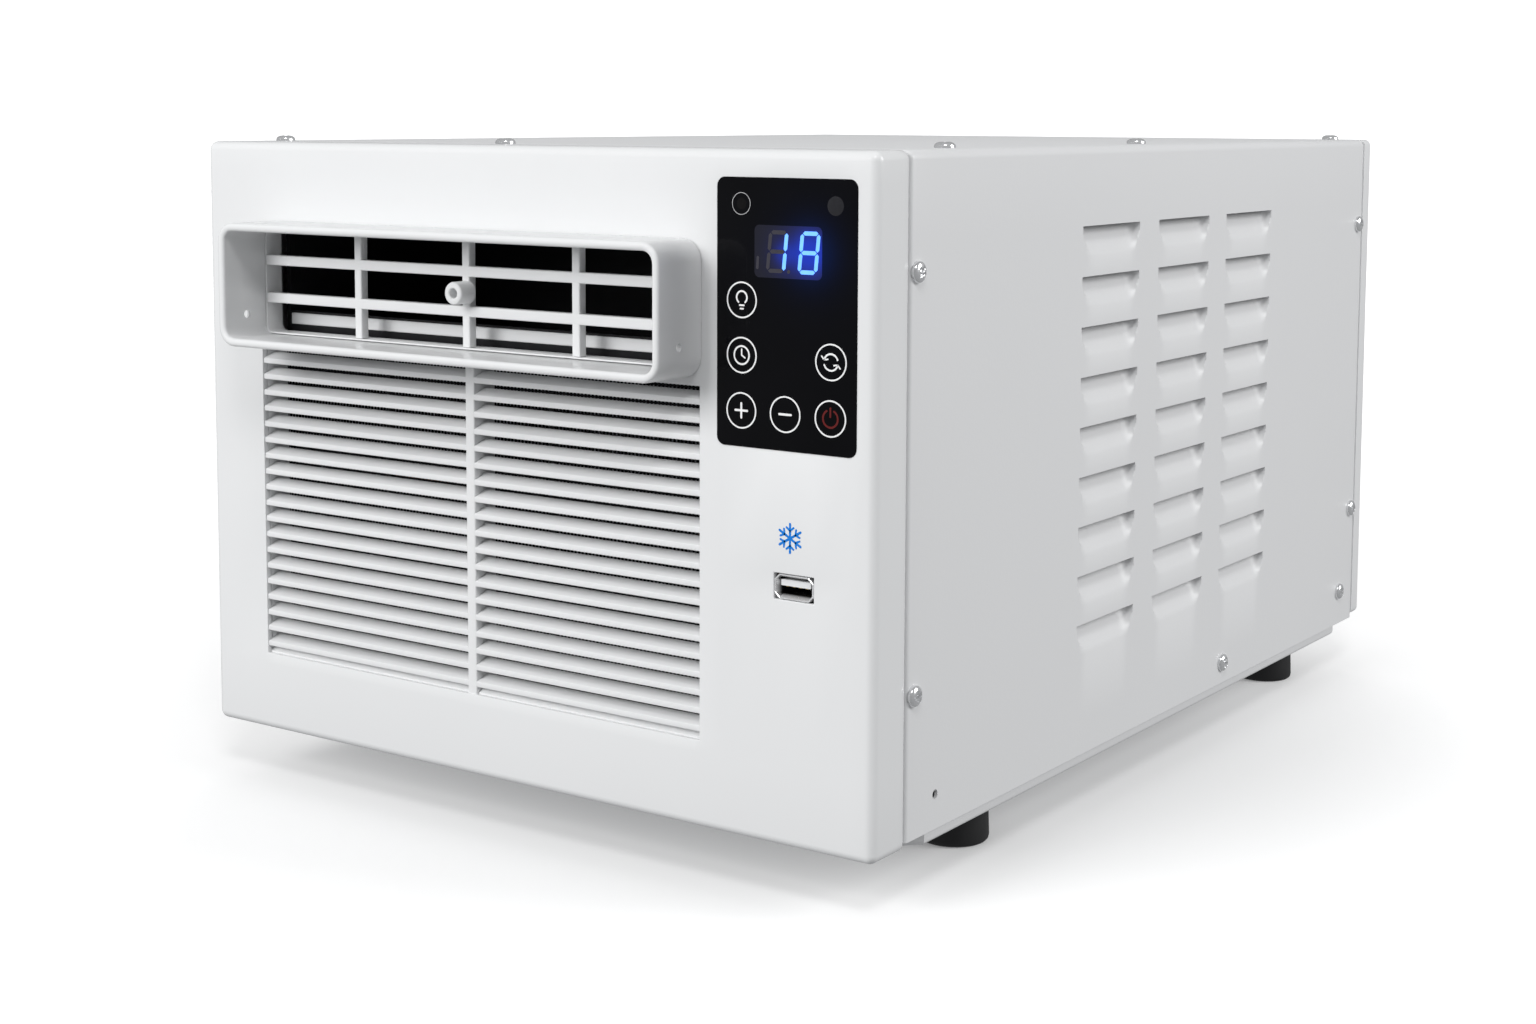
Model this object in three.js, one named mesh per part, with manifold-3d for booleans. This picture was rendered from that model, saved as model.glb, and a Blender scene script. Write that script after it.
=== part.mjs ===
// A compact window air conditioner: a white moulded front with an intake grille and an outlet hood,
// a louvred steel cover on a base pan, and the refrigeration set inside.
// Millimetres. Each piece is drawn with x across from the middle, y back from the front face and z up
// from the floor. The exported group then moves the whole unit so that its box is centred on x and y.
import * as THREE from "three";
import { mergeVertices } from "three/addons/utils/BufferGeometryUtils.js";
import Module from "manifold-3d";

const wasm = await Module();
wasm.setup();

// ---- Driving dimensions ----
const WIDTH = 300; // across the front panel and the cover
const DEPTH = 425; // front face to the rear panel's face
const TOP = 243; // floor to the top of the cover
const CASE_BOTTOM = 20; // floor to the front panel's lower edge
const PAN_BOTTOM = 17.3; // floor to the underside of the base pan
const SHEET = 1.2; // painted steel sheet
const GAP = 0.3; // clearance between pieces that touch
const HALF = WIDTH / 2;

const PANEL = { depth: 18, wall: 2.5, edge: 2 };
const COVER = { front: 19.5, rear: 415.2, bottom: 22.5, bend: 3, flange: 9 };
const REAR = { front: COVER.rear + GAP, bottom: 23.5 };
const REAR_SLOT = { bottom: 76, rows: 17, pitch: 9, height: 3.9, length: 122, fromMiddle: 4 };
const INTAKE = { left: -121.8, right: 82.9, bottom: 49.3, top: 166.7 };
const SLAT = { pitch: 6, thickness: 2.2, front: 0.6, back: 6.4, rise: 2.6 };
const DIVIDER = { left: -19.8, right: -15.6 };
const OUTLET = { left: -116.1, right: 80.7, bottom: 172, top: 211 };
const HOOD = { reach: 23, wall: 3, corner: 7, holeDepth: 12, holeHeight: 180, holeRadius: 1.5 };
const BAR = { width: 3.4, front: -3, back: 0.6, levels: [183.7, 197.6], uprights: [-68, -15.9, 33.4] };
const STUD = { x: -15.9, z: 192.2, radius: 4, bore: 1.75, tip: -9.4 };
const KEYPAD = { left: 89.8, right: 143, bottom: 148.3, top: 234.2, thickness: 1.4 };
const DISPLAY = { left: 104.3, right: 130.4, bottom: 202.5, top: 219.6 };
const IR_WINDOW = { x: 99.5, z: 225.8, radius: 3.6 };
const USB = { left: 112, right: 127.3, bottom: 100.6, top: 109.1, depth: 15 };
const LOUVRE = { columns: [136.6, 199.2, 261.8], rows: 9, top: 214.7, pitch: 18, length: 46, height: 10.5 };
const LOUVRE_SINK = 4.4;
const PAN = { front: 27, rear: 399, halfWidth: 148.3, top: 29, chamfer: 7 };
const FOOT = { radius: 12.7, height: 17, x: 125, y: [93, 372] };
const SCREW = { headRadius: 3.6, headHeight: 2.2, shankRadius: 1.9, shankLength: 6 };
const SIDE_SCREWS = [
  [23.5, 205],
  [23.5, 69.8],
  [267, 31.2],
  [397.9, 37.7],
  [409.5, 74.5],
  [409.5, 205],
];
const SPARE_HOLE = { y: 37.7, z: 34.1, radius: 1.6 };
const INLET = { x: 105, z: 48, width: 26, height: 18, proud: 2, depth: 15 };
const DRAIN = { x: -60, y: 270, radius: 5 };
const ROTOR = { x: -20, z: 112, shaftRadius: 4 };
const COMPRESSOR = { x: 92, y: 190, radius: 46, top: 150 };
const FILTER = { left: -149.5, right: 86, bottom: 46, top: 169.6, front: 14.4, thickness: 2.6 };

// ---- Materials ----
const finish = (color, roughness, metalness) =>
  new THREE.MeshStandardMaterial({ color, roughness, metalness });
const whitePlastic = finish(0xf2f3f4, 0.32, 0);
const whitePaint = finish(0xe9eaec, 0.42, 0);
const blackGloss = finish(0x08080a, 0.08, 0);
const smokedLens = finish(0x101a33, 0.1, 0);
const chrome = finish(0xc8c9cb, 0.18, 1);
const zincSteel = finish(0xa9adb0, 0.35, 1);
const finAluminium = finish(0xb9c0c4, 0.4, 1);
const copper = finish(0xb87345, 0.3, 1);
const blackSteel = finish(0x17181a, 0.45, 0.3);
const rubber = finish(0x141414, 0.8, 0);
const greyPlastic = finish(0x5e6266, 0.5, 0);
const darkPlastic = finish(0x202225, 0.5, 0);
const circuitGreen = finish(0x1d5a3a, 0.45, 0);
const filterMesh = finish(0x39424a, 0.7, 0);

// ---- Solids: joining and cutting ----
function solidOf(geometry) {
  const bare = geometry.clone();
  bare.deleteAttribute("normal");
  bare.deleteAttribute("uv");
  const merged = mergeVertices(bare, 1e-4);
  const vertProperties = new Float32Array(merged.attributes.position.array);
  const triVerts = new Uint32Array(merged.index.array);
  return new wasm.Manifold(new wasm.Mesh({ numProp: 3, vertProperties, triVerts }));
}

function geometryOf(solid) {
  const mesh = solid.getMesh();
  const geometry = new THREE.BufferGeometry();
  geometry.setAttribute("position", new THREE.BufferAttribute(new Float32Array(mesh.vertProperties), 3));
  geometry.setIndex(new THREE.BufferAttribute(new Uint32Array(mesh.triVerts), 1));
  geometry.computeVertexNormals();
  return geometry;
}

const joined = (...geometries) => geometries.map(solidOf).reduce((sum, solid) => sum.add(solid));

// The joined pieces less the joined cutters.
function carve(pieces, cutters) {
  const body = joined(...pieces);
  return geometryOf(cutters.length ? body.subtract(joined(...cutters)) : body);
}

// ---- Shapes ----
const block = (x0, x1, y0, y1, z0, z1) =>
  new THREE.BoxGeometry(x1 - x0, y1 - y0, z1 - z0).translate((x0 + x1) / 2, (y0 + y1) / 2, (z0 + z1) / 2);

// A round bar along one axis, centred on two coordinates and running from start to end.
const rodY = (x, z, radius, start, end, sides = 24) =>
  new THREE.CylinderGeometry(radius, radius, end - start, sides).translate(x, (start + end) / 2, z);
const rodZ = (x, y, radius, start, end, sides = 24) =>
  new THREE.CylinderGeometry(radius, radius, end - start, sides)
    .rotateX(Math.PI / 2)
    .translate(x, y, (start + end) / 2);
const rodX = (y, z, radius, start, end, sides = 24) =>
  new THREE.CylinderGeometry(radius, radius, end - start, sides)
    .rotateZ(Math.PI / 2)
    .translate((start + end) / 2, y, z);

function roundedRectangle(x0, x1, z0, z1, radius) {
  const shape = new THREE.Shape();
  shape.moveTo(x0 + radius, z0);
  shape.lineTo(x1 - radius, z0);
  shape.absarc(x1 - radius, z0 + radius, radius, -Math.PI / 2, 0);
  shape.lineTo(x1, z1 - radius);
  shape.absarc(x1 - radius, z1 - radius, radius, 0, Math.PI / 2);
  shape.lineTo(x0 + radius, z1);
  shape.absarc(x0 + radius, z1 - radius, radius, Math.PI / 2, Math.PI);
  shape.lineTo(x0, z0 + radius);
  shape.absarc(x0 + radius, z0 + radius, radius, Math.PI, 1.5 * Math.PI);
  return shape;
}

const outline = (points) => new THREE.Shape(points.map(([a, b]) => new THREE.Vector2(a, b)));

// A shape drawn in x and z, thickened along y from start to end.
const alongY = (shape, start, end, curveSegments = 3) =>
  new THREE.ExtrudeGeometry(shape, { depth: end - start, bevelEnabled: false, curveSegments })
    .rotateX(Math.PI / 2)
    .translate(0, end, 0);
// A shape drawn in x and y, thickened upwards.
const alongZ = (shape, start, end, curveSegments = 3) =>
  new THREE.ExtrudeGeometry(shape, { depth: end - start, bevelEnabled: false, curveSegments })
    .translate(0, 0, start);
// A shape drawn in y and z, thickened along x.
const alongX = (shape, start, end) =>
  new THREE.ExtrudeGeometry(shape, { depth: end - start, bevelEnabled: false })
    .rotateX(Math.PI / 2)
    .rotateZ(Math.PI / 2)
    .translate(start, 0, 0);

// A flat-backed block with bevelled front edges: the shape is grown by the bevel, so it starts smaller.
const bevelledPlate = (x0, x1, z0, z1, depth, bevel) =>
  new THREE.ExtrudeGeometry(roundedRectangle(x0 + bevel, x1 - bevel, z0 + bevel, z1 - bevel, 1.2), {
    depth,
    bevelThickness: bevel,
    bevelSize: bevel,
    bevelSegments: 3,
    curveSegments: 2,
  }).rotateX(Math.PI / 2);

// A profile of [radius, height] pairs turned about the vertical axis.
const turned = (profile, sides = 20) =>
  new THREE.LatheGeometry(profile.map(([radius, height]) => new THREE.Vector2(radius, height)), sides)
    .rotateX(Math.PI / 2);

// A solid line along a smooth route; an arc gets two sides for each curve segment.
function pipe(points, radius, steps, sides = 8) {
  const section = new THREE.Shape();
  section.absarc(0, 0, radius, 0, 2 * Math.PI);
  const extrudePath = new THREE.CatmullRomCurve3(
    points.map((p) => new THREE.Vector3(...p)),
    false,
    "centripetal",
  );
  const settings = { steps, extrudePath, curveSegments: sides / 2, bevelEnabled: false };
  return new THREE.ExtrudeGeometry(section, settings);
}

// ---- The assembly ----
const unit = new THREE.Group();
const fanAxis = new THREE.Group();
const compressorSet = new THREE.Group();
fanAxis.position.set(ROTOR.x, 0, ROTOR.z);
compressorSet.position.set(COMPRESSOR.x, COMPRESSOR.y, 0);
unit.add(fanAxis, compressorSet);

function addPiece(parent, name, geometry, material, position = [0, 0, 0]) {
  const mesh = new THREE.Mesh(geometry, material);
  mesh.name = name;
  mesh.position.set(...position);
  parent.add(mesh);
  return mesh;
}

// ---- Moulded front ----
// The front panel is a shallow tray with openings, rails for the filter and a slot for it in the left edge.
function frontPanel() {
  const { depth, wall, edge } = PANEL;
  const outer = bevelledPlate(-HALF, HALF, CASE_BOTTOM, TOP, depth, edge).translate(0, depth + edge, 0);
  const inner = HALF - wall;
  const through = ({ left, right, bottom, top }, grow, back) =>
    block(left - grow, right + grow, -1, back, bottom - grow, top + grow);
  const cuts = [
    block(-HALF - 1, HALF + 1, depth, depth + 9, 0, TOP + 1),
    through(INTAKE, 0, wall + 1),
    through(OUTLET, 0, wall + 1),
    through(KEYPAD, GAP, KEYPAD.thickness + GAP),
    through(KEYPAD, -3, wall + 1),
    through(USB, 0, wall + 1),
  ];
  const hollow = block(-inner, inner, wall, depth + 1, CASE_BOTTOM + wall, TOP - wall);
  const railTops = [FILTER.bottom - 0.6, FILTER.top + 1.9];
  const railEnds = [-inner - 0.2, FILTER.right + 2];
  const rails = railTops.map((z) => block(...railEnds, wall - 0.1, depth - 0.1, z - 1.5, z));
  const [slotBottom, slotTop] = [FILTER.bottom - 0.5, FILTER.top + 0.4];
  const filterSlot = block(-HALF - 1, -inner + 0.5, FILTER.front - 0.7, depth + 1, slotBottom, slotTop);
  const tray = joined(outer).subtract(joined(hollow, ...cuts));
  return geometryOf(tray.add(joined(...rails)).subtract(joined(filterSlot)));
}

// Slats lean up towards the back inside a deep frame, whose flange lies behind the front panel.
function intakeGrille() {
  const [left, right] = [INTAKE.left + GAP, INTAKE.right - GAP];
  const [bottom, top] = [INTAKE.bottom + GAP, INTAKE.top - GAP];
  const frameBack = 12.5;
  const count = Math.floor((top - bottom) / SLAT.pitch);
  const slats = Array.from({ length: count }, (_, i) => {
    const z = bottom + SLAT.pitch * (i + 0.4);
    const section = [
      [SLAT.front, z],
      [SLAT.back, z + SLAT.rise],
      [SLAT.back, z + SLAT.rise + SLAT.thickness * 0.8],
      [SLAT.front, z + SLAT.thickness],
    ];
    return alongX(outline(section), left + 0.5, right - 0.5);
  });
  const frame = joined(
    block(left, right, SLAT.front, frameBack, bottom, top),
    block(left - 3, right + 3, PANEL.wall + GAP, 4.8, bottom - 3, top + 3),
  );
  const opened = frame.subtract(joined(block(left + 1.6, right - 1.6, 0, 13, bottom + 1.2, top - 1.2)));
  const divider = block(DIVIDER.left, DIVIDER.right, SLAT.front - 0.2, frameBack, bottom + 0.5, top - 0.5);
  const above = block(left - 9, right + 9, -1, 13, top - 0.4, top + 20);
  const trimmed = joined(...slats, divider).subtract(joined(above));
  return geometryOf(opened.add(trimmed));
}

// The hood is a short rectangular collar round the outlet, with a small fixing hole in each side wall.
function outletHood() {
  const [left, right] = [OUTLET.left - HOOD.wall - GAP, OUTLET.right + HOOD.wall - 0.2];
  const [bottom, top] = [OUTLET.bottom - HOOD.wall, OUTLET.top + HOOD.wall];
  const collar = alongY(roundedRectangle(left, right, bottom, top, HOOD.corner), -HOOD.reach, -GAP, 2);
  const inside = roundedRectangle(OUTLET.left, OUTLET.right, OUTLET.bottom, OUTLET.top, 4);
  const mouth = alongY(inside, -HOOD.reach - 1, 1, 2);
  const gridSeat = block(OUTLET.left, OUTLET.right, BAR.front - 0.5, 1, OUTLET.bottom, OUTLET.top);
  const holes = rodX(-HOOD.holeDepth, HOOD.holeHeight, HOOD.holeRadius, left - 1, right + 1, 10);
  return carve([collar], [mouth, gridSeat, holes]);
}

// The outlet grid is a frame with two level bars, three upright bars and a drilled stud on the middle one.
function outletGrid() {
  const [left, right] = [OUTLET.left + GAP, OUTLET.right - GAP];
  const [bottom, top] = [OUTLET.bottom + GAP, OUTLET.top - GAP];
  const frameBack = 8;
  const opening = block(left + 1.5, right - 1.5, BAR.front - 1, frameBack + 1, bottom + 1.5, top - 1.5);
  const frame = carve([block(left, right, BAR.front, frameBack, bottom, top)], [opening]);
  const level = BAR.levels.map((z) => block(left + 1, right - 1, BAR.front, BAR.back - 0.1, z, z + 3.7));
  const half = BAR.width / 2;
  const [low, high] = [bottom + 1, top - 1];
  const upright = BAR.uprights.map((x) => block(x - half, x + half, BAR.front, BAR.back, low, high));
  const stud = rodY(STUD.x, STUD.z, STUD.radius, STUD.tip, BAR.front + 0.5, 16);
  const bore = rodY(STUD.x, STUD.z, STUD.bore, -10, BAR.front - 1, 10);
  return carve([frame, ...level, ...upright, stud], [bore]);
}

function keypadPlate() {
  const face = roundedRectangle(KEYPAD.left, KEYPAD.right, KEYPAD.bottom, KEYPAD.top, 3);
  const plate = alongY(face, 0, KEYPAD.thickness);
  const window = block(DISPLAY.left, DISPLAY.right, -1, 3, DISPLAY.bottom, DISPLAY.top);
  const irHole = rodY(IR_WINDOW.x, IR_WINDOW.z, IR_WINDOW.radius, -1, 3, 16);
  return carve([plate], [window, irHole]);
}

// The receptacle is a folded steel sleeve with chamfered corners, closed at the back.
function usbShell() {
  const chamfered = (inset, chamfer) => {
    const [x0, x1] = [USB.left + inset, USB.right - inset];
    const [z0, z1] = [USB.bottom + inset, USB.top - inset];
    return outline([
      [x0 + chamfer, z0],
      [x1 - chamfer, z0],
      [x1, z0 + chamfer],
      [x1, z1 - chamfer],
      [x1 - chamfer, z1],
      [x0 + chamfer, z1],
      [x0, z1 - chamfer],
      [x0, z0 + chamfer],
    ]);
  };
  const sleeve = alongY(chamfered(GAP, 1), 0.2, USB.depth);
  return carve([sleeve], [alongY(chamfered(GAP + 0.5, 0.8), -1, USB.depth - 0.5)]);
}

addPiece(unit, "front_panel", frontPanel(), whitePlastic);
addPiece(unit, "intake_grille", intakeGrille(), whitePlastic);
addPiece(unit, "outlet_hood", outletHood(), whitePlastic);
addPiece(unit, "outlet_grid", outletGrid(), whitePlastic);
addPiece(unit, "control_panel", keypadPlate(), blackGloss);
const behindDisplay = (grow, front, back) =>
  block(DISPLAY.left - grow, DISPLAY.right + grow, front, back, DISPLAY.bottom - grow, DISPLAY.top + grow);
const irLens = rodY(IR_WINDOW.x, IR_WINDOW.z, IR_WINDOW.radius - GAP, 0.1, 3, 16);
addPiece(unit, "display_lens", behindDisplay(-GAP, 0.1, KEYPAD.thickness), smokedLens);
addPiece(unit, "ir_lens", irLens, blackGloss);
addPiece(unit, "display_module", behindDisplay(1, 2, 8.5), darkPlastic);
addPiece(unit, "ir_receiver", block(96.5, 102.5, 3.4, 8.5, 222.4, 229), darkPlastic);
addPiece(unit, "control_board", block(93.5, 139.5, 8.8, 10.4, 152, 231), circuitGreen);
addPiece(unit, "usb_shell", usbShell(), chrome);
addPiece(unit, "usb_tongue", block(114, 125.3, 1.5, USB.depth - 0.8, 105, 107), whitePlastic);

// ---- Air filter: a framed mesh card that slides out through the left edge of the front panel ----
function filterCard() {
  const { left, right, bottom, top, front, thickness } = FILTER;
  const back = front + thickness;
  const middle = front + thickness / 2;
  const cellLeft = left + 30;
  const ribsAcross = [1, 2].map((i) => bottom + ((top - bottom) * i) / 3);
  const ribsUp = [0, 1, 2, 3].map((i) => cellLeft + ((right - cellLeft) * i) / 4);
  const opening = block(left + 4, right - 4, front - 1, back + 1, bottom + 4, top - 4);
  const frame = carve([block(left, right, front, back, bottom, top)], [opening]);
  const mesh = block(left + 3, right - 3, middle - 0.25, middle + 0.25, bottom + 3, top - 3);
  const [ribFront, ribBack, rib] = [front + 0.4, back - 0.4, 0.9];
  const across = ribsAcross.map((z) => block(left + 3, right - 3, ribFront, ribBack, z - rib, z + rib));
  const up = ribsUp.map((x) => block(x - rib, x + rib, ribFront, ribBack, bottom + 3, top - 3));
  return carve([frame, mesh, ...across, ...up], []);
}
addPiece(unit, "air_filter", filterCard(), filterMesh);

// ---- Steel case ----
// The cover is one sheet bent over the top and both sides, with flanges turned in at both ends.
// Each louvre is a slot whose lower edge stays on the sheet and whose tongue leans in to the top.
function archOutline(inset, bottom, radius) {
  const x = HALF - inset;
  const z = TOP - inset;
  const arch = new THREE.Shape();
  arch.moveTo(-x, bottom);
  arch.lineTo(x, bottom);
  arch.lineTo(x, z - radius);
  arch.absarc(x - radius, z - radius, radius, 0, Math.PI / 2);
  arch.lineTo(-x + radius, z);
  arch.absarc(-x + radius, z - radius, radius, Math.PI / 2, Math.PI);
  return arch;
}

function cover() {
  const shell = alongY(archOutline(0, COVER.bottom, COVER.bend), COVER.front, COVER.rear, 4);
  const inside = archOutline(SHEET, COVER.bottom - 1, COVER.bend - SHEET);
  const room = alongY(inside, COVER.front + SHEET, COVER.rear - SHEET, 3);
  const mouth = alongY(archOutline(COVER.flange, COVER.bottom - 1, 1), COVER.front - 1, COVER.rear + 1, 1);
  const slots = [];
  const tongues = [];
  for (const side of [-1, 1]) {
    for (const column of LOUVRE.columns) {
      for (let row = 0; row < LOUVRE.rows; row++) {
        const top = LOUVRE.top - row * LOUVRE.pitch;
        const bottom = top - LOUVRE.height;
        const end = column + LOUVRE.length;
        const [xIn, xOut] = [side * (HALF - 2), side * (HALF + 1)];
        slots.push(block(Math.min(xIn, xOut), Math.max(xIn, xOut), column, end, bottom, top));
        const root = bottom - 0.4;
        const tongue = [
          [side * HALF, root],
          [side * (HALF - SHEET), root],
          [side * (HALF - SHEET - LOUVRE_SINK), top],
          [side * (HALF - LOUVRE_SINK), top],
        ];
        tongues.push(alongY(outline(side > 0 ? tongue.reverse() : tongue), column, end));
      }
    }
  }
  const holeRadius = SCREW.shankRadius + 0.4;
  const screwHoles = SIDE_SCREWS.map(([y, z]) => rodX(y, z, holeRadius, -HALF - 1, HALF + 1, 8));
  const spareHoles = rodX(SPARE_HOLE.y, SPARE_HOLE.z, SPARE_HOLE.radius, -HALF - 1, HALF + 1, 10);
  const holed = joined(shell).subtract(joined(room, mouth, ...slots, ...screwHoles, spareHoles));
  return geometryOf(holed.add(joined(...tongues)));
}

// The rear panel is a shallow tray with level exhaust slots over the condenser and a cut-out for the inlet.
function rearPanel() {
  const bevel = PANEL.edge;
  const depth = DEPTH - REAR.front;
  const outer = bevelledPlate(-HALF, HALF, REAR.bottom, TOP, depth, bevel)
    .rotateZ(Math.PI)
    .translate(0, REAR.front - bevel, 0);
  const inside = HALF - SHEET;
  const fold = REAR.front - 9;
  const hollow = block(-inside, inside, fold, DEPTH - SHEET, REAR.bottom + SHEET, TOP - SHEET);
  const ahead = block(-HALF - 1, HALF + 1, fold, REAR.front, 0, TOP + 1);
  const throughFace = (x, z, width, height) =>
    block(x - width / 2, x + width / 2, DEPTH - 3, DEPTH + 1, z - height / 2, z + height / 2);
  const socket = throughFace(INLET.x, INLET.z, INLET.width + 2 * GAP, INLET.height + 2 * GAP);
  const slots = [];
  for (const side of [-1, 1]) {
    for (let row = 0; row < REAR_SLOT.rows; row++) {
      const x = side * (REAR_SLOT.length / 2 + REAR_SLOT.fromMiddle);
      const z = REAR_SLOT.bottom + REAR_SLOT.height / 2 + row * REAR_SLOT.pitch;
      slots.push(throughFace(x, z, REAR_SLOT.length, REAR_SLOT.height));
    }
  }
  return carve([outer], [hollow, ahead, socket, ...slots]);
}

// The base pan catches condensate: a folded tray with clipped corners and one drain hole.
function basePan() {
  const plan = (inset) => {
    const [x, y0, y1] = [PAN.halfWidth - inset, PAN.front + inset, PAN.rear - inset];
    return outline([
      [-x + PAN.chamfer, y0],
      [x - PAN.chamfer, y0],
      [x, y0 + PAN.chamfer],
      [x, y1 - 2],
      [x - 2, y1],
      [-x + 2, y1],
      [-x, y1 - 2],
      [-x, y0 + PAN.chamfer],
    ]);
  };
  const drainHole = rodZ(DRAIN.x, DRAIN.y, DRAIN.radius + 0.4, PAN_BOTTOM - 1, PAN_BOTTOM + 3, 16);
  const hollow = alongZ(plan(SHEET), PAN_BOTTOM + SHEET, PAN.top + 1);
  return carve([alongZ(plan(0), PAN_BOTTOM, PAN.top)], [hollow, drainHole]);
}

const footProfile = [
  [0, 0],
  [FOOT.radius - 1.6, 0],
  [FOOT.radius - 0.4, 0.6],
  [FOOT.radius, 1.8],
  [FOOT.radius, FOOT.height],
  [0, FOOT.height],
];

const screwProfile = [
  [0, -SCREW.shankLength],
  [SCREW.shankRadius, -SCREW.shankLength],
  [SCREW.shankRadius, GAP],
  [SCREW.headRadius, GAP],
  [SCREW.headRadius * 0.62, SCREW.headHeight * 0.85],
  [0, SCREW.headHeight + GAP],
];

addPiece(unit, "cover", cover(), whitePaint);
addPiece(unit, "rear_panel", rearPanel(), whitePaint);
addPiece(unit, "base_pan", basePan(), whitePaint);

for (const [endName, y] of [["front", FOOT.y[0]], ["rear", FOOT.y[1]]]) {
  for (const [sideName, side] of [["left", -1], ["right", 1]]) {
    addPiece(unit, `foot_${endName}_${sideName}`, turned(footProfile, 16), rubber, [side * FOOT.x, y, 0]);
  }
}

for (const [sideName, side] of [["left", -1], ["right", 1]]) {
  SIDE_SCREWS.forEach(([y, z], i) => {
    const name = `cover_screw_${sideName}_${i + 1}`;
    const screw = addPiece(unit, name, turned(screwProfile, 6), chrome, [side * HALF, y, z]);
    screw.rotation.y = (side * Math.PI) / 2;
  });
}

// ---- Drain and mains inlet ----
function drainSpout() {
  const flangeBottom = PAN_BOTTOM + SHEET + GAP;
  const tube = rodZ(DRAIN.x, DRAIN.y, DRAIN.radius, 6, flangeBottom + 1, 16);
  const flange = rodZ(DRAIN.x, DRAIN.y, DRAIN.radius + 3, flangeBottom, flangeBottom + 1.5, 16);
  return carve([tube, flange], [rodZ(DRAIN.x, DRAIN.y, DRAIN.radius - 1.6, 5, 30, 16)]);
}

function drainPlug() {
  const cup = rodZ(DRAIN.x, DRAIN.y, DRAIN.radius + 2, 3.2, 12, 16);
  return carve([cup], [rodZ(DRAIN.x, DRAIN.y, DRAIN.radius + GAP, 6 - GAP, 13, 16)]);
}

// A three-pin inlet: the pins stand on the socket floor and stop short of its mouth.
function mainsInlet() {
  const { x, z, width, height, proud, depth } = INLET;
  const mouth = DEPTH + proud;
  const floor = mouth - depth;
  const body = block(x - width / 2, x + width / 2, floor - 1.5, mouth, z - height / 2, z + height / 2);
  const flange = { x: width / 2 + 3, z: height / 2 + 3 };
  const flangeOutline = roundedRectangle(x - flange.x, x + flange.x, z - flange.z, z + flange.z, 3);
  const rim = alongY(flangeOutline, DEPTH + GAP, mouth);
  const [w, h] = [width / 2 - 0.9, height / 2 - 0.8];
  const cavity = outline([
    [x - w, z - h],
    [x + w, z - h],
    [x + w, z + h - 4],
    [x + w - 4, z + h],
    [x - w + 4, z + h],
    [x - w, z + h - 4],
  ]);
  const pins = [
    [-7, -1],
    [7, -1],
    [0, 3],
  ].map(([dx, dz]) => block(x + dx - 1, x + dx + 1, floor - 1, floor + 9, z + dz - 2, z + dz + 2));
  const housing = joined(body, rim).subtract(joined(alongY(cavity, floor, mouth + 1)));
  return geometryOf(housing.add(joined(...pins)));
}

addPiece(unit, "drain_spout", drainSpout(), greyPlastic);
addPiece(unit, "drain_plug", drainPlug(), rubber);
addPiece(unit, "mains_inlet", mainsInlet(), darkPlastic);

// ---- Coils: a pack of fins with the tubes' return bends standing out of both ends ----
function coil({ left, right, front, back, bottom, top, bends }) {
  const pack = block(left, right, front, back, bottom, top);
  const y = (front + back) / 2;
  const spacing = (top - bottom) / bends;
  const { radius, tube } = RETURN_BEND;
  const returnBends = [];
  for (const [face, side] of [[left, -1], [right, 1]]) {
    for (let i = 0; i < bends; i++) {
      const z = bottom + spacing * (i + 0.5);
      const bend = [
        [face - side, y, z - radius],
        [face + side * radius * 0.7, y, z - radius * 0.75],
        [face + side * radius, y, z],
        [face + side * radius * 0.7, y, z + radius * 0.75],
        [face - side, y, z + radius],
      ];
      returnBends.push(pipe(bend, tube, 5, 6));
    }
  }
  return carve([pack, ...returnBends], []);
}

const RETURN_BEND = { radius: 9, tube: 3.5 };
const EVAPORATOR = { left: -124, right: 84, front: 24, back: 50, bottom: 46, top: 165, bends: 3 };
const CONDENSER = { left: -128, right: 120, front: 374, back: 408, bottom: 30, top: 230, bends: 5 };
const trayHollow = block(-138, 98, 24, 51, 33, 46);
const trayDrain = rodZ(-100, 37, 3, 30, 34, 10);
const dripTray = carve([block(-140, 100, 22, 53, 31, 44.5)], [trayHollow, trayDrain]);
addPiece(unit, "evaporator", coil(EVAPORATOR), finAluminium);
addPiece(unit, "condenser", coil(CONDENSER), finAluminium);
addPiece(unit, "drip_tray", dripTray, greyPlastic);
addPiece(unit, "temperature_sensor", rodX(20.6, 120, 2, -72, -48, 10), copper);

// ---- Blower: a scroll that opens out round the wheel and rises into a duct to the outlet ----
function scrollOutline(inset) {
  const [x, z] = [ROTOR.x, ROTOR.z];
  const turn = THREE.MathUtils.degToRad(200);
  const start = THREE.MathUtils.degToRad(20);
  const points = [[52 - inset, 176]];
  const steps = 14;
  for (let i = 0; i <= steps; i++) {
    const angle = start - (turn * i) / steps;
    const radius = 58 + (14 * i) / steps - inset;
    points.push([x + radius * Math.cos(angle), z + radius * Math.sin(angle)]);
  }
  points.push([x - 72 + inset, 176]);
  return outline(points.reverse());
}

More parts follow.
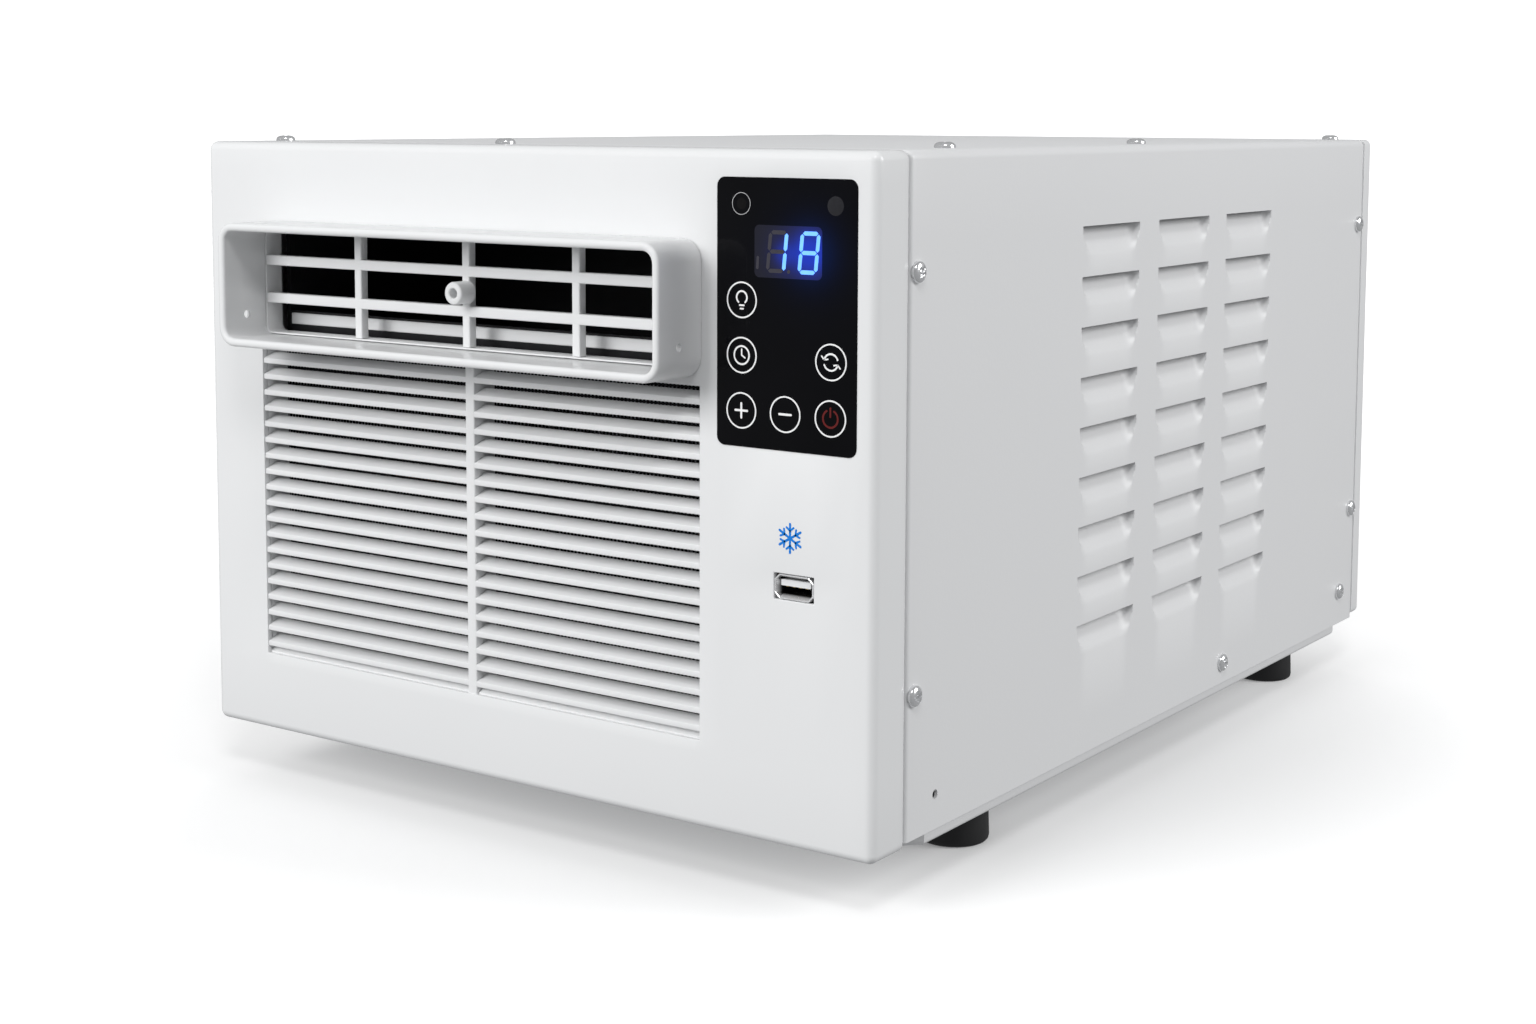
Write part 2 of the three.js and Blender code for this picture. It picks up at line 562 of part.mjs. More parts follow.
function blowerScroll() {
  const [front, back, wall] = [56, 108, 2];
  const duct = { left: -116.5, right: 81, bottom: 172, top: 211 };
  const ductFront = 8.3;
  const ductBlock = (inset, start, end) =>
    block(duct.left + inset, duct.right - inset, start, end, duct.bottom + inset, duct.top - inset);
  const outer = [alongY(scrollOutline(0), front, back), ductBlock(0, ductFront, back)];
  const inner = [
    alongY(scrollOutline(wall), front + wall, back - wall),
    ductBlock(wall, ductFront - 1, back - wall),
    rodY(ROTOR.x, ROTOR.z, 44, front - 1, front + wall + 1, 28),
    rodY(ROTOR.x, ROTOR.z, 12, back - wall - 1, back + 1, 16),
  ];
  const lipEnds = [duct.left + 1, duct.right - 1];
  const lip = block(...lipEnds, ductFront, ductFront + 2, duct.bottom + 1, duct.bottom + 8);
  return geometryOf(joined(...outer).subtract(joined(...inner)).add(joined(lip)));
}

// The wheel has a back disc on a hub, straight-backed blades round the rim and a ring at the mouth.
function blowerWheel() {
  const [front, back, radius] = [61, 103, 52];
  const bladeCount = 15;
  const disc = rodY(0, 0, radius, back - 2, back, 30);
  const hub = rodY(0, 0, 10, back - 18, back, 16);
  const mouth = rodY(0, 0, radius - 9, front - 1, front + 4, 30);
  const ring = carve([rodY(0, 0, radius, front, front + 3, 30)], [mouth]);
  const blades = Array.from({ length: bladeCount }, (_, i) =>
    block(-0.9, 0.9, front + 1, back - 1, -5.5, 5.5)
      .rotateY(0.5)
      .translate(0, 0, radius - 6.5)
      .rotateY((2 * Math.PI * i) / bladeCount),
  );
  return carve([disc, hub, ring, ...blades], [rodY(0, 0, ROTOR.shaftRadius + GAP, front, back + 1, 16)]);
}

// Each fan blade is a flat bar twisted from a steep pitch at the hub to a shallow one at the tip.
function fanBlade(rootRadius, tipRadius, chord) {
  const span = tipRadius - rootRadius;
  const blade = new THREE.BoxGeometry(chord, 2, span, 2, 1, 4).translate(0, 0, rootRadius + span / 2);
  const position = blade.attributes.position;
  const vertex = new THREE.Vector3();
  const radial = new THREE.Vector3(0, 0, 1);
  for (let i = 0; i < position.count; i++) {
    vertex.fromBufferAttribute(position, i);
    const outward = (vertex.z - rootRadius) / span;
    vertex.x *= 0.7 + 0.5 * outward;
    vertex.applyAxisAngle(radial, THREE.MathUtils.degToRad(42 - 20 * outward));
    position.setXYZ(i, vertex.x, vertex.y, vertex.z);
  }
  return blade;
}

function condenserFan() {
  const middle = 298;
  const bladeCount = 5;
  const hub = rodY(0, 0, 21, middle - 12, middle + 12, 20);
  const blades = Array.from({ length: bladeCount }, (_, i) =>
    fanBlade(18, 82, 44)
      .translate(0, middle, 0)
      .rotateY((2 * Math.PI * i) / bladeCount),
  );
  return carve([hub, ...blades], [rodY(0, 0, ROTOR.shaftRadius + GAP, middle - 20, middle + 20, 16)]);
}

addPiece(unit, "blower_scroll", blowerScroll(), darkPlastic);
addPiece(fanAxis, "rotor_shaft", rodY(0, 0, ROTOR.shaftRadius, 62, 316, 16), zincSteel);
addPiece(fanAxis, "blower_wheel", blowerWheel(), darkPlastic);
addPiece(fanAxis, "condenser_fan", condenserFan(), darkPlastic);

// ---- Motor on its cradle, the bulkhead in front of it and the fan shroud behind it ----
function motorBody() {
  const bore = ROTOR.shaftRadius + 0.4;
  const can = rodY(0, 0, 42, 145, 197, 28);
  const ends = rodY(0, 0, 34, 138, 204, 24);
  const bosses = rodY(0, 0, 12, 132, 210, 16);
  return carve([can, ends, bosses], [rodY(0, 0, bore, 130, 212, 16)]);
}

function motorCradle() {
  const floor = PAN_BOTTOM + SHEET + GAP;
  const base = block(ROTOR.x - 45, ROTOR.x + 45, 146, 196, floor, floor + 2);
  const walls = [150, 189].map((y) => block(ROTOR.x - 40, ROTOR.x + 40, y, y + 3, floor + 1, ROTOR.z - 12));
  return carve([base, ...walls], [rodY(ROTOR.x, ROTOR.z, 42 + GAP, 140, 200, 28)]);
}

function bulkhead() {
  const sheet = block(-146, 146, 118, 118 + SHEET, PAN_BOTTOM + SHEET + GAP, TOP - 3);
  return carve([sheet], [rodY(ROTOR.x, ROTOR.z, 16, 110, 130, 16), block(124, 147, 110, 130, 90, 182)]);
}

function fanShroud() {
  const [left, right, bottom, top] = [-141, 135, 20, 238];
  const [face, back, orifice] = [310, 371, 87];
  const box = block(left, right, face, back, bottom, top);
  const room = block(left + SHEET, right - SHEET, face + SHEET, back + 1, bottom + SHEET, top - SHEET);
  const ring = rodY(ROTOR.x, ROTOR.z, orifice + SHEET, 290, face + 1, 36);
  const hole = rodY(ROTOR.x, ROTOR.z, orifice, 280, face + SHEET + 0.1, 36);
  return geometryOf(joined(box).subtract(joined(room)).add(joined(ring)).subtract(joined(hole)));
}

addPiece(fanAxis, "fan_motor", motorBody(), zincSteel);
addPiece(unit, "motor_cradle", motorCradle(), zincSteel);
addPiece(unit, "bulkhead", bulkhead(), zincSteel);
addPiece(unit, "fan_shroud", fanShroud(), greyPlastic);

// ---- Compressor on three rubber grommets, with its accumulator ----
const lugs = [180, 300, 60].map((degrees) => {
  const angle = THREE.MathUtils.degToRad(degrees);
  return [56 * Math.cos(angle), 56 * Math.sin(angle)];
});

function compressorBody() {
  const [r, top] = [COMPRESSOR.radius, COMPRESSOR.top];
  const can = turned(
    [
      [0, 32],
      [r * 0.75, 32.5],
      [r * 0.95, 38],
      [r, 46],
      [r, top - 30],
      [r * 0.93, top - 14],
      [r * 0.68, top - 4],
      [r * 0.3, top - 0.5],
      [0, top],
    ],
    20,
  );
  const plate = [alongZ(outline(lugs), 31, 33.5), ...lugs.map(([x, y]) => rodZ(x, y, 9, 31, 33.5, 12))];
  return carve([can, ...plate], lugs.map(([x, y]) => rodZ(x, y, 4.6, 30, 34, 12)));
}

const grommetProfile = [
  [0, PAN_BOTTOM + SHEET + GAP],
  [8, PAN_BOTTOM + SHEET + GAP],
  [8, 30.7],
  [4.2, 30.7],
  [4.2, 33.8],
  [7, 33.8],
  [6, 37],
  [0, 37],
];

addPiece(compressorSet, "compressor", compressorBody(), blackSteel);
lugs.forEach(([x, y], i) => {
  addPiece(compressorSet, `compressor_grommet_${i + 1}`, turned(grommetProfile, 12), rubber, [x, y, 0]);
});
const accumulatorProfile = [
  [0, 58],
  [11, 60],
  [16, 68],
  [16, 132],
  [11, 140],
  [0, 142],
];
addPiece(unit, "accumulator", turned(accumulatorProfile, 16), blackSteel, [92, 256, 0]);

// ---- Refrigerant lines ----
const coilMiddle = (EVAPORATOR.front + EVAPORATOR.back) / 2;
const condenserMiddle = (CONDENSER.front + CONDENSER.back) / 2;
const dischargeRoute = [
  [92, 190, COMPRESSOR.top + GAP],
  [92, 190, 166],
  [100, 200, 180],
  [126, 250, 186],
  [139, 300, 190],
  [142, 340, 190],
  [142, 376, 190],
  [136, condenserMiddle, 190],
  [CONDENSER.right + 1.5, condenserMiddle, 190],
];
const liquidRoute = [
  [CONDENSER.right + 1.5, condenserMiddle, 70],
  [135, condenserMiddle, 70],
  [142, 376, 66],
  [142, 330, 50],
  [136, 300, 50],
  [120, 284, 48],
  [112, 282, 54],
  [112, 282, 61.7],
];
const capillaryRoute = [
  [112, 282, 112.3],
  [112, 282, 124],
  [124, 268, 140],
  [130, 240, 172],
  [131, 180, 176],
  [132, 119, 172],
  [132, 80, 150],
  [122, 46, 132],
  [106, coilMiddle, 126],
  [EVAPORATOR.right + 1.2, coilMiddle, 125.3],
];
const suctionRoute = [
  [EVAPORATOR.right + 1.5, coilMiddle, 85.7],
  [104, coilMiddle, 86],
  [124, 48, 90],
  [135, 84, 100],
  [135, 119, 108],
  [130, 136, 140],
  [116, 176, 166],
  [108, 226, 168],
  [94, 252, 160],
  [92, 256, 142.3],
];
addPiece(unit, "discharge_pipe", pipe(dischargeRoute, 3.2, 22), copper);
addPiece(unit, "liquid_pipe", pipe(liquidRoute, 3.2, 20), copper);
addPiece(unit, "capillary_tube", pipe(capillaryRoute, 1.2, 26, 6), copper);
addPiece(unit, "suction_pipe", pipe(suctionRoute, 4.8, 24), copper);
const drierProfile = [
  [0, 62],
  [4, 62],
  [9, 68],
  [9, 106],
  [4, 112],
  [0, 112],
];
addPiece(unit, "filter_drier", turned(drierProfile, 12), copper, [112, 282, 0]);

// ---- Electrics beside the blower ----
const powerParts = [
  block(60, 61.6, 60, 112, 60, 165),
  block(61.5, 86, 66, 90, 70, 98),
  block(61.5, 80, 66, 84, 112, 140),
  block(61.5, 78, 94, 106, 84, 150),
];
addPiece(unit, "power_board", carve(powerParts, []), circuitGreen);
addPiece(unit, "run_capacitor", rodZ(104, 90, 13, PAN_BOTTOM + SHEET + GAP, 84, 16), finAluminium);

// The box reaches from the hood's rim to the inlet's rim, so its middle is the frame's origin.
unit.position.y = (HOOD.reach - DEPTH - INLET.proud) / 2;
const airConditioner = new THREE.Group();
airConditioner.add(unit);
export default airConditioner;
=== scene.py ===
import bmesh
import bpy
import numpy as np
from math import cos, pi, radians, sin, tau
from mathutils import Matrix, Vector


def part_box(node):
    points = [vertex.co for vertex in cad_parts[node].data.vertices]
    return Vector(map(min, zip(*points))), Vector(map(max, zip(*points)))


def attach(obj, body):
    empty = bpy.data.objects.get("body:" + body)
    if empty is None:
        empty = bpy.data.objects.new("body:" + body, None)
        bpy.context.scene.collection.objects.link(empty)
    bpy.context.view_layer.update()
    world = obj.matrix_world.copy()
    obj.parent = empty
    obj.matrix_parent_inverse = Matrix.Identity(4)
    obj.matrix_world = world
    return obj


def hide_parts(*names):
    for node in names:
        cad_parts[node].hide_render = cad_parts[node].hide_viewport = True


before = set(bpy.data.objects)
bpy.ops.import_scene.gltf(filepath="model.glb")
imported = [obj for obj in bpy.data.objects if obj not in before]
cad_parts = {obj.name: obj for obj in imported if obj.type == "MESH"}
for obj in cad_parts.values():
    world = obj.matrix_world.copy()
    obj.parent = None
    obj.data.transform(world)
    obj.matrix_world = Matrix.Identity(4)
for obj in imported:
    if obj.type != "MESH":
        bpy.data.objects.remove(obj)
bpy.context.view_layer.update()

# ---- Studio ----
# A round bowl of pale paper that the unit stands in, which glows more towards its wall, soft boxes
# round it, and the camera at the height of the unit's top, looking at its front right corner.
MM = 0.001
scene = bpy.context.scene
scene.view_settings.view_transform = "Standard"

camera = bpy.data.objects.new("camera", bpy.data.cameras.new("camera"))
camera.data.lens = 52.1
camera.data.sensor_width = 36
camera.data.shift_y = -0.1185
camera.location = (0.50806, -0.77308, 0.25419)
camera.rotation_euler = [radians(turn) for turn in (84.428, -0.184, 34.925)]
scene.collection.objects.link(camera)
scene.camera = camera

BOWL_RADIUS = 3.4
BOWL_BEND = 1.2
BOWL_HEIGHT = 2.6


def grid(points, keep=None, close=(False, False)):
    """A surface from a rows x columns x 3 array: one four-cornered face for each kept cell.
    close joins the last row or column to the first. A surface is its points and its groups of faces."""
    rows, columns = points.shape[:2]
    row = np.arange(rows if close[0] else rows - 1)[:, None]
    column = np.arange(columns if close[1] else columns - 1)[None, :]
    next_row, next_column = (row + 1) % rows, (column + 1) % columns
    corners = [row * columns + column, row * columns + next_column]
    corners += [next_row * columns + next_column, next_row * columns + column]
    faces = np.stack([np.broadcast_to(c, (row.size, column.size)) for c in corners], -1)
    return points.reshape(-1, 3), [faces[keep] if keep is not None else faces.reshape(-1, 4)]


def joined(*surfaces):
    """Several surfaces as one: the faces of each count on from the points of those before it."""
    starts = np.cumsum([0] + [len(points) for points, _ in surfaces])
    faces = [group + start for start, (_, groups) in zip(starts, surfaces) for group in groups]
    return np.concatenate([points for points, _ in surfaces]), faces


def solid_object(name, surface, finish):
    """A mesh object from a surface in millimetres, with doubled points merged and faces turned outwards."""
    points, groups = surface
    mesh = bpy.data.meshes.new(name)
    mesh.from_pydata((points * MM).tolist(), [], [face for group in groups for face in group.tolist()])
    shape = bmesh.new()
    shape.from_mesh(mesh)
    bmesh.ops.remove_doubles(shape, verts=shape.verts, dist=0.002 * MM)
    bmesh.ops.recalc_face_normals(shape, faces=shape.faces)
    shape.to_mesh(mesh)
    shape.free()
    mesh.materials.append(finish.material)
    thing = bpy.data.objects.new(name, mesh)
    scene.collection.objects.link(thing)
    return thing


def soft_edges(mesh, degrees=35):
    """Smooth shading, broken where two faces meet at more than that angle."""
    mesh.shade_smooth()
    mesh.set_sharp_from_angle(angle=radians(degrees))


class Shade:
    """A value inside a finish: + - * / on it, from either side, add Math nodes."""

    def __init__(self, finish, socket):
        self.finish = finish
        self.socket = socket

    def maths(self, operation, first, second):
        return self.finish.node("ShaderNodeMath", {"operation": operation}, {0: first, 1: second})

    def __add__(self, other):
        return self.maths("ADD", self, other)

    def __sub__(self, other):
        return self.maths("SUBTRACT", self, other)

    def __rsub__(self, other):
        return self.maths("SUBTRACT", other, self)

    def __mul__(self, other):
        return self.maths("MULTIPLY", self, other)

    def __truediv__(self, other):
        return self.maths("DIVIDE", self, other)

    def __rtruediv__(self, other):
        return self.maths("DIVIDE", other, self)

    __radd__ = __add__
    __rmul__ = __mul__


class Finish:
    """A material: its shader's own values, the place on the object, and one method for any other node."""

    def __init__(self, name, uniform):
        self.material = bpy.data.materials.new(name)
        self.material.use_nodes = True
        self.shader = self.material.node_tree.nodes["Principled BSDF"]
        self.feed(uniform)
        self.place = self.node("ShaderNodeTexCoord", output="Object")

    def join(self, value, socket):
        """Links a Shade to a socket, or sets the socket to a number or a colour."""
        if isinstance(value, Shade):
            self.material.node_tree.links.new(value.socket, socket)
        else:
            socket.default_value = (*value, 1.0) if socket.type == "RGBA" else value

    def feed(self, values):
        for name, value in values.items():
            self.join(value, self.shader.inputs[name])

    def node(self, kind, settings=None, values=None, output=0):
        """Adds a node of that kind, makes its settings, fills its sockets and gives one output."""
        node = self.material.node_tree.nodes.new(kind)
        for name, value in (settings or {}).items():
            if name == "stops":
                elements = node.color_ramp.elements
                while len(elements) < len(value):
                    elements.new(0.5)
                for element, (position, level) in zip(elements, value):
                    element.position = position
                    element.color = (level, level, level, 1.0)
            else:
                setattr(node, name, value)
        for name, value in (values or {}).items():
            self.join(value, node.inputs[name])
        return Shade(self, node.outputs[output])

    def noise(self, size, detail=2.0, stretch=(1, 1, 1)):
        """Cloudy noise between 0 and 1 whose lumps are about that many millimetres across."""
        place = self.node("ShaderNodeMapping", {}, {"Vector": self.place, "Scale": stretch})
        values = {"Vector": place, "Scale": 1 / (size * MM), "Detail": detail}
        return self.node("ShaderNodeTexNoise", {}, values)

    def ramp(self, value, *stops):
        """Grey levels over a value, even between stops that are each a value and its level."""
        return self.node("ShaderNodeValToRGB", {"stops": stops}, {"Fac": value})

    def blend(self, amount, first, second):
        """From the first colour to the second as the amount goes from 0 to 1."""
        values = {"Factor": amount, 6: first, 7: second}
        return self.node("ShaderNodeMix", {"data_type": "RGBA"}, values, output=2)

    def mottle(self, first, second, *noise):
        """Colours the surface in clouds from the first colour to the second."""
        self.feed({"Base Color": self.blend(self.noise(*noise), first, second)})

    def roughen(self, least, spread, *noise):
        """Roughness in clouds, from the least up to the spread above it."""
        self.feed({"Roughness": self.noise(*noise) * spread + least})

    def relief(self, height, depth):
        """Gives the surface that relief, depth millimetres deep."""
        values = {"Strength": 1.0, "Distance": depth * MM, "Height": height}
        self.feed({"Normal": self.node("ShaderNodeBump", {}, values)})

    def grain(self, depth, *noise):
        """A relief of cloudy noise."""
        self.relief(self.noise(*noise), depth)


paper = Finish("studio_paper", {"Roughness": 0.95, "Specular IOR Level": 0.1})
paper.mottle((0.79, 0.79, 0.79), (0.81, 0.81, 0.81), 900)
away = paper.node("ShaderNodeVectorMath", {"operation": "LENGTH"}, {0: paper.place}, output=1) / BOWL_RADIUS
floor_glow = paper.ramp(away, (0.04, 0.12), (0.092, 0.34), (1, 0.95))
paper.feed({"Emission Color": floor_glow, "Emission Strength": 1.0})


def studio_bowl(radius, bend, height):
    """A flat floor that turns up through a quarter circle into a round wall, one profile turned about z."""
    angle = np.linspace(0, pi / 2, 13)
    reach = np.concatenate([[0, radius / 3], radius + bend * np.sin(angle), [radius + bend]])
    rise = np.concatenate([[0, 0], bend * (1 - np.cos(angle)), [height]])
    around = np.linspace(0, tau, 65)[:-1, None]
    return np.stack([reach * np.cos(around), reach * np.sin(around), rise + 0 * around], -1) / MM


bowl = grid(studio_bowl(BOWL_RADIUS, BOWL_BEND, BOWL_HEIGHT), close=(True, False))
floor = solid_object("studio_floor", bowl, paper)
soft_edges(floor.data)
floor.visible_diffuse = False
floor.visible_glossy = False

world = bpy.data.worlds.new("studio_air")
world.use_nodes = True
air = world.node_tree.nodes["Background"]
air.inputs["Color"].default_value = (0.97, 0.985, 1.0, 1.0)
air.inputs["Strength"].default_value = 0.33
scene.world = world


def soft_box(name, place, aim, size, power, mirrored=True):
    """A square lamp at one point that looks at another, in metres, watts and metres across.
    A lamp that isn't mirrored gives light, but no highlight on a gloss."""
    lamp = bpy.data.lights.new(name, "AREA")
    lamp.size = size
    lamp.energy = power
    light = bpy.data.objects.new(name, lamp)
    light.location = place
    light.rotation_euler = (Vector(aim) - Vector(place)).to_track_quat("-Z", "Y").to_euler()
    light.visible_camera = False
    light.visible_glossy = mirrored
    scene.collection.objects.link(light)


soft_box("key_light", (-0.7, -2.1, 1.0), (0, 0, 0.1), 1.2, 38, mirrored=False)
soft_box("side_light", (2.1, 1.0, 1.1), (0, 0, 0.1), 1.2, 33)
soft_box("corner_light", (1.0, -1.3, 1.9), (0, 0, 0.12), 0.6, 12)
soft_box("back_light", (-1.2, 2.2, 1.3), (0, 0, 0.1), 1.6, 20, mirrored=False)


# ---- Front panel ----
# A glossy white tray moulded in ABS, 2.5 mm thick, with rounded outer edges. It fits over the front
# of the case and has openings for the grille, the outlet, the keypad's back and the USB socket.
PANEL_WALL = 2.5
PANEL_BEND = 3.2
PANEL_EDGE = 0.35  # bevel of its sharp edges
FILTER_SLOT_GAP = 0.5
LAP = 0.3  # clearance between a fitted piece and its opening
GRILLE_LAP = 3.0  # how far the panel covers the intake grille's frame
KEYPAD_SEAT = 1.5  # width of the rim under the keypad plate's edge
OPEN_SIDE = np.array([0, 40.0, 0])  # carries a tray's box past its open side, so that side stays sharp

white_abs = Finish("gloss_white_abs", {"Specular IOR Level": 0.5})
white_abs.mottle((0.765, 0.77, 0.775), (0.785, 0.79, 0.795), 60, 1)
white_abs.roughen(0.24, 0.04, 70, 1)
white_abs.grain(0.01, 45, 0)


def span(node):
    """Lowest and highest corner of a CAD node, in millimetres."""
    low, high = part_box(node)
    return np.array(low) / MM, np.array(high) / MM


def window(node, grow):
    """The x and z limits of an opening that is larger than a node by that much all round."""
    low, high = span(node)
    return low[0] - grow, high[0] + grow, low[2] - grow, high[2] + grow


def bend_steps(bend):
    """Distances from a box's edge to the lines that meet its bend at even steps."""
    return bend * (1 - np.tan(np.linspace(0, pi / 4, 4)))


def lines(low, high, bend, *between):
    """Grid lines from low to high that give even steps round a bend at both ends."""
    near = bend_steps(bend)
    return np.unique(np.round(np.concatenate([low + near, high - near, between]), 4))


def outside(a, b, windows):
    """For each cell between the lines a and b: is its middle outside every window (a0, a1, b0, b1)?"""
    a, b = (a[:-1] + a[1:])[:, None] / 2, (b[:-1] + b[1:])[None, :] / 2
    keep = np.ones(np.broadcast(a, b).shape, bool)
    for a0, a1, b0, b1 in windows:
        keep &= ~((a > a0) & (a < a1) & (b > b0) & (b < b1))
    return keep


def round_off(points, low, high, bend):
    """A sharp box drawn round: each point moves to one bend radius from the box's core, straight out."""
    core = np.clip(points, np.array(low) + bend, np.array(high) - bend)
    out = points - core
    return core + bend * out / np.maximum(np.linalg.norm(out, axis=-1, keepdims=True), 1e-9)


def plane(a, b, place):
    """Points of a flat grid: place turns the two coordinates into x, y and z."""
    a, b = np.meshgrid(a, b, indexing="ij")
    return np.stack([np.broadcast_to(part, a.shape) for part in place(a, b)], -1)


def tray(x, z, face_y, depths, low, high, bend, openings, left_openings=()):
    """The five sides of a box that is open at the back, rounded off: its face and its four walls."""
    wall_y = np.sort(depths)

    def side(a, b, place, keep=None):
        return grid(round_off(plane(a, b, place), low, high, bend), keep)

    return joined(
        side(x, z, lambda a, b: (a, face_y, b), outside(x, z, openings)),
        side(wall_y, z, lambda a, b: (x[0], a, b), outside(wall_y, z, left_openings)),
        side(wall_y, z, lambda a, b: (x[-1], a, b)),
        side(x, wall_y, lambda a, b: (a, b, z[0])),
        side(x, wall_y, lambda a, b: (a, b, z[-1])),
    )


def settle(thing):
    """The object's modifiers become part of its mesh."""
    mesh = bpy.data.meshes.new_from_object(thing.evaluated_get(bpy.context.evaluated_depsgraph_get()))
    thing.modifiers.clear()
    thing.data = mesh


def add_piece(name, surface, finish, body="chassis", replaces=(), wall=0, bevel=0, degrees=35):
    """A finished piece. A wall thickens an open surface inwards, and a bevel breaks its sharp edges."""
    thing = solid_object(name, surface, finish)
    if wall:
        shell = thing.modifiers.new("wall", "SOLIDIFY")
        shell.thickness = wall * MM
        shell.offset = -1
        shell.use_even_offset = True
    if bevel:
        edge = thing.modifiers.new("edge", "BEVEL")
        edge.width = bevel * MM
        edge.segments = 2
        edge.limit_method = "ANGLE"
        edge.angle_limit = radians(50)
        edge.use_clamp_overlap = False
    if wall or bevel:
        bpy.context.view_layer.update()
        settle(thing)
    soft_edges(thing.data, degrees)
    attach(thing, body)
    if replaces:
        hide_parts(*replaces)


panel_low, panel_high = span("front_panel")
filter_low, filter_high = span("air_filter")
intake = window("intake_grille", -GRILLE_LAP)
outlet = window("outlet_grid", LAP)
keypad = window("control_panel", 0)
usb_mouth = window("usb_shell", LAP)
keypad_back = window("control_panel", -KEYPAD_SEAT)
panel_openings = np.array([intake, outlet, keypad_back, usb_mouth])
slot_front, slot_back = filter_low[1] - FILTER_SLOT_GAP, panel_high[1]
slot_bottom, slot_top = filter_low[2] - FILTER_SLOT_GAP, filter_high[2] + FILTER_SLOT_GAP
filter_slot = (slot_front, slot_back, slot_bottom, slot_top)
edges_x, edges_z = panel_openings[:, :2].ravel(), panel_openings[:, 2:].ravel()
panel_x = lines(panel_low[0], panel_high[0], PANEL_BEND, *edges_x)
panel_z = lines(panel_low[2], panel_high[2], PANEL_BEND, slot_bottom, slot_top, *edges_z)
panel_y = np.append(panel_low[1] + bend_steps(PANEL_BEND), [slot_front, slot_back])
panel_tray = tray(
    panel_x, panel_z, panel_low[1], panel_y, panel_low, panel_high + OPEN_SIDE, PANEL_BEND,
    panel_openings, [filter_slot],
)
add_piece(
    "front_panel_moulding", panel_tray, white_abs,
    replaces=["front_panel"], wall=PANEL_WALL, bevel=PANEL_EDGE,
)


# ---- Cover ----
# One sheet of 1.2 mm steel, powder-coated white and bent over the top and both sides, with a flange
# folded in at each end. Each louvre is a cut whose lower lip is pressed inwards as a shallow half-bowl.
SHEET = 1.2
COVER_BEND = 3.0
FLANGE = 9.0
FLANGE_BEND = 1.6
LOUVRE_START = 117.1  # from the cover's front edge to the first column
LOUVRE_COLUMNS = 3
LOUVRE_STEP = 62.6
LOUVRE_LENGTH = 46.0
LOUVRE_HEIGHT = 11.0
LOUVRE_TOP = 28.3  # from the cover's top to the first cut
LOUVRE_PITCH = 18.0
LOUVRE_ROWS = 9
LOUVRE_SINK = 5.8
LOUVRE_END = 5.6  # length of the curved wall at each end
LOUVRE_LEAN = 7.0  # how far each end draws in from the cut to the lower edge
SPARE_HOLE = (18.2, 34.1, 1.6)  # behind the cover's front edge, above the floor, and its radius

white_powder = Finish("white_powder_coat", {"Specular IOR Level": 0.45})
white_powder.mottle((0.735, 0.738, 0.745), (0.755, 0.758, 0.765), 90)
white_powder.roughen(0.32, 0.14, 2.2, 3)
white_powder.relief(white_powder.noise(1.6, 2) + white_powder.noise(0.45, 2) * 0.4, 0.02)


def round_hole(u, v, centre, radius):
    """Moves the lines of a square round a centre onto a circle inside it, straight towards the centre."""
    du, dv = u - centre[0], v - centre[1]
    edge = np.isclose(np.maximum(abs(du), abs(dv)), radius, atol=1e-3)
    pull = np.where(edge, radius / np.maximum(np.hypot(du, dv), 1e-9), 1)
    return centre[0] + du * pull, centre[1] + dv * pull


def hole_lines(centre, radius):
    """Lines through a hole's square that meet its circle at even steps."""
    return centre + radius * np.tan(np.linspace(-pi / 4, pi / 4, 7))


def louvre_depth(behind, below):
    """How far the sheet is pressed in at a distance behind the front edge and a share below the cut.
    The depth fades evenly to the lower edge, and rises from each end as a quarter circle does."""
    depth = np.zeros(np.broadcast(behind, below).shape)
    for column in range(LOUVRE_COLUMNS):
        middle = LOUVRE_START + column * LOUVRE_STEP + LOUVRE_LENGTH / 2
        reach = LOUVRE_LENGTH / 2 - LOUVRE_LEAN * below**2 - abs(behind - middle)
        end = np.clip(reach / LOUVRE_END, 0, 1)
        depth += LOUVRE_SINK * (1 - below) ** 1.05 * np.sqrt(1 - (1 - end) ** 2)
    return depth


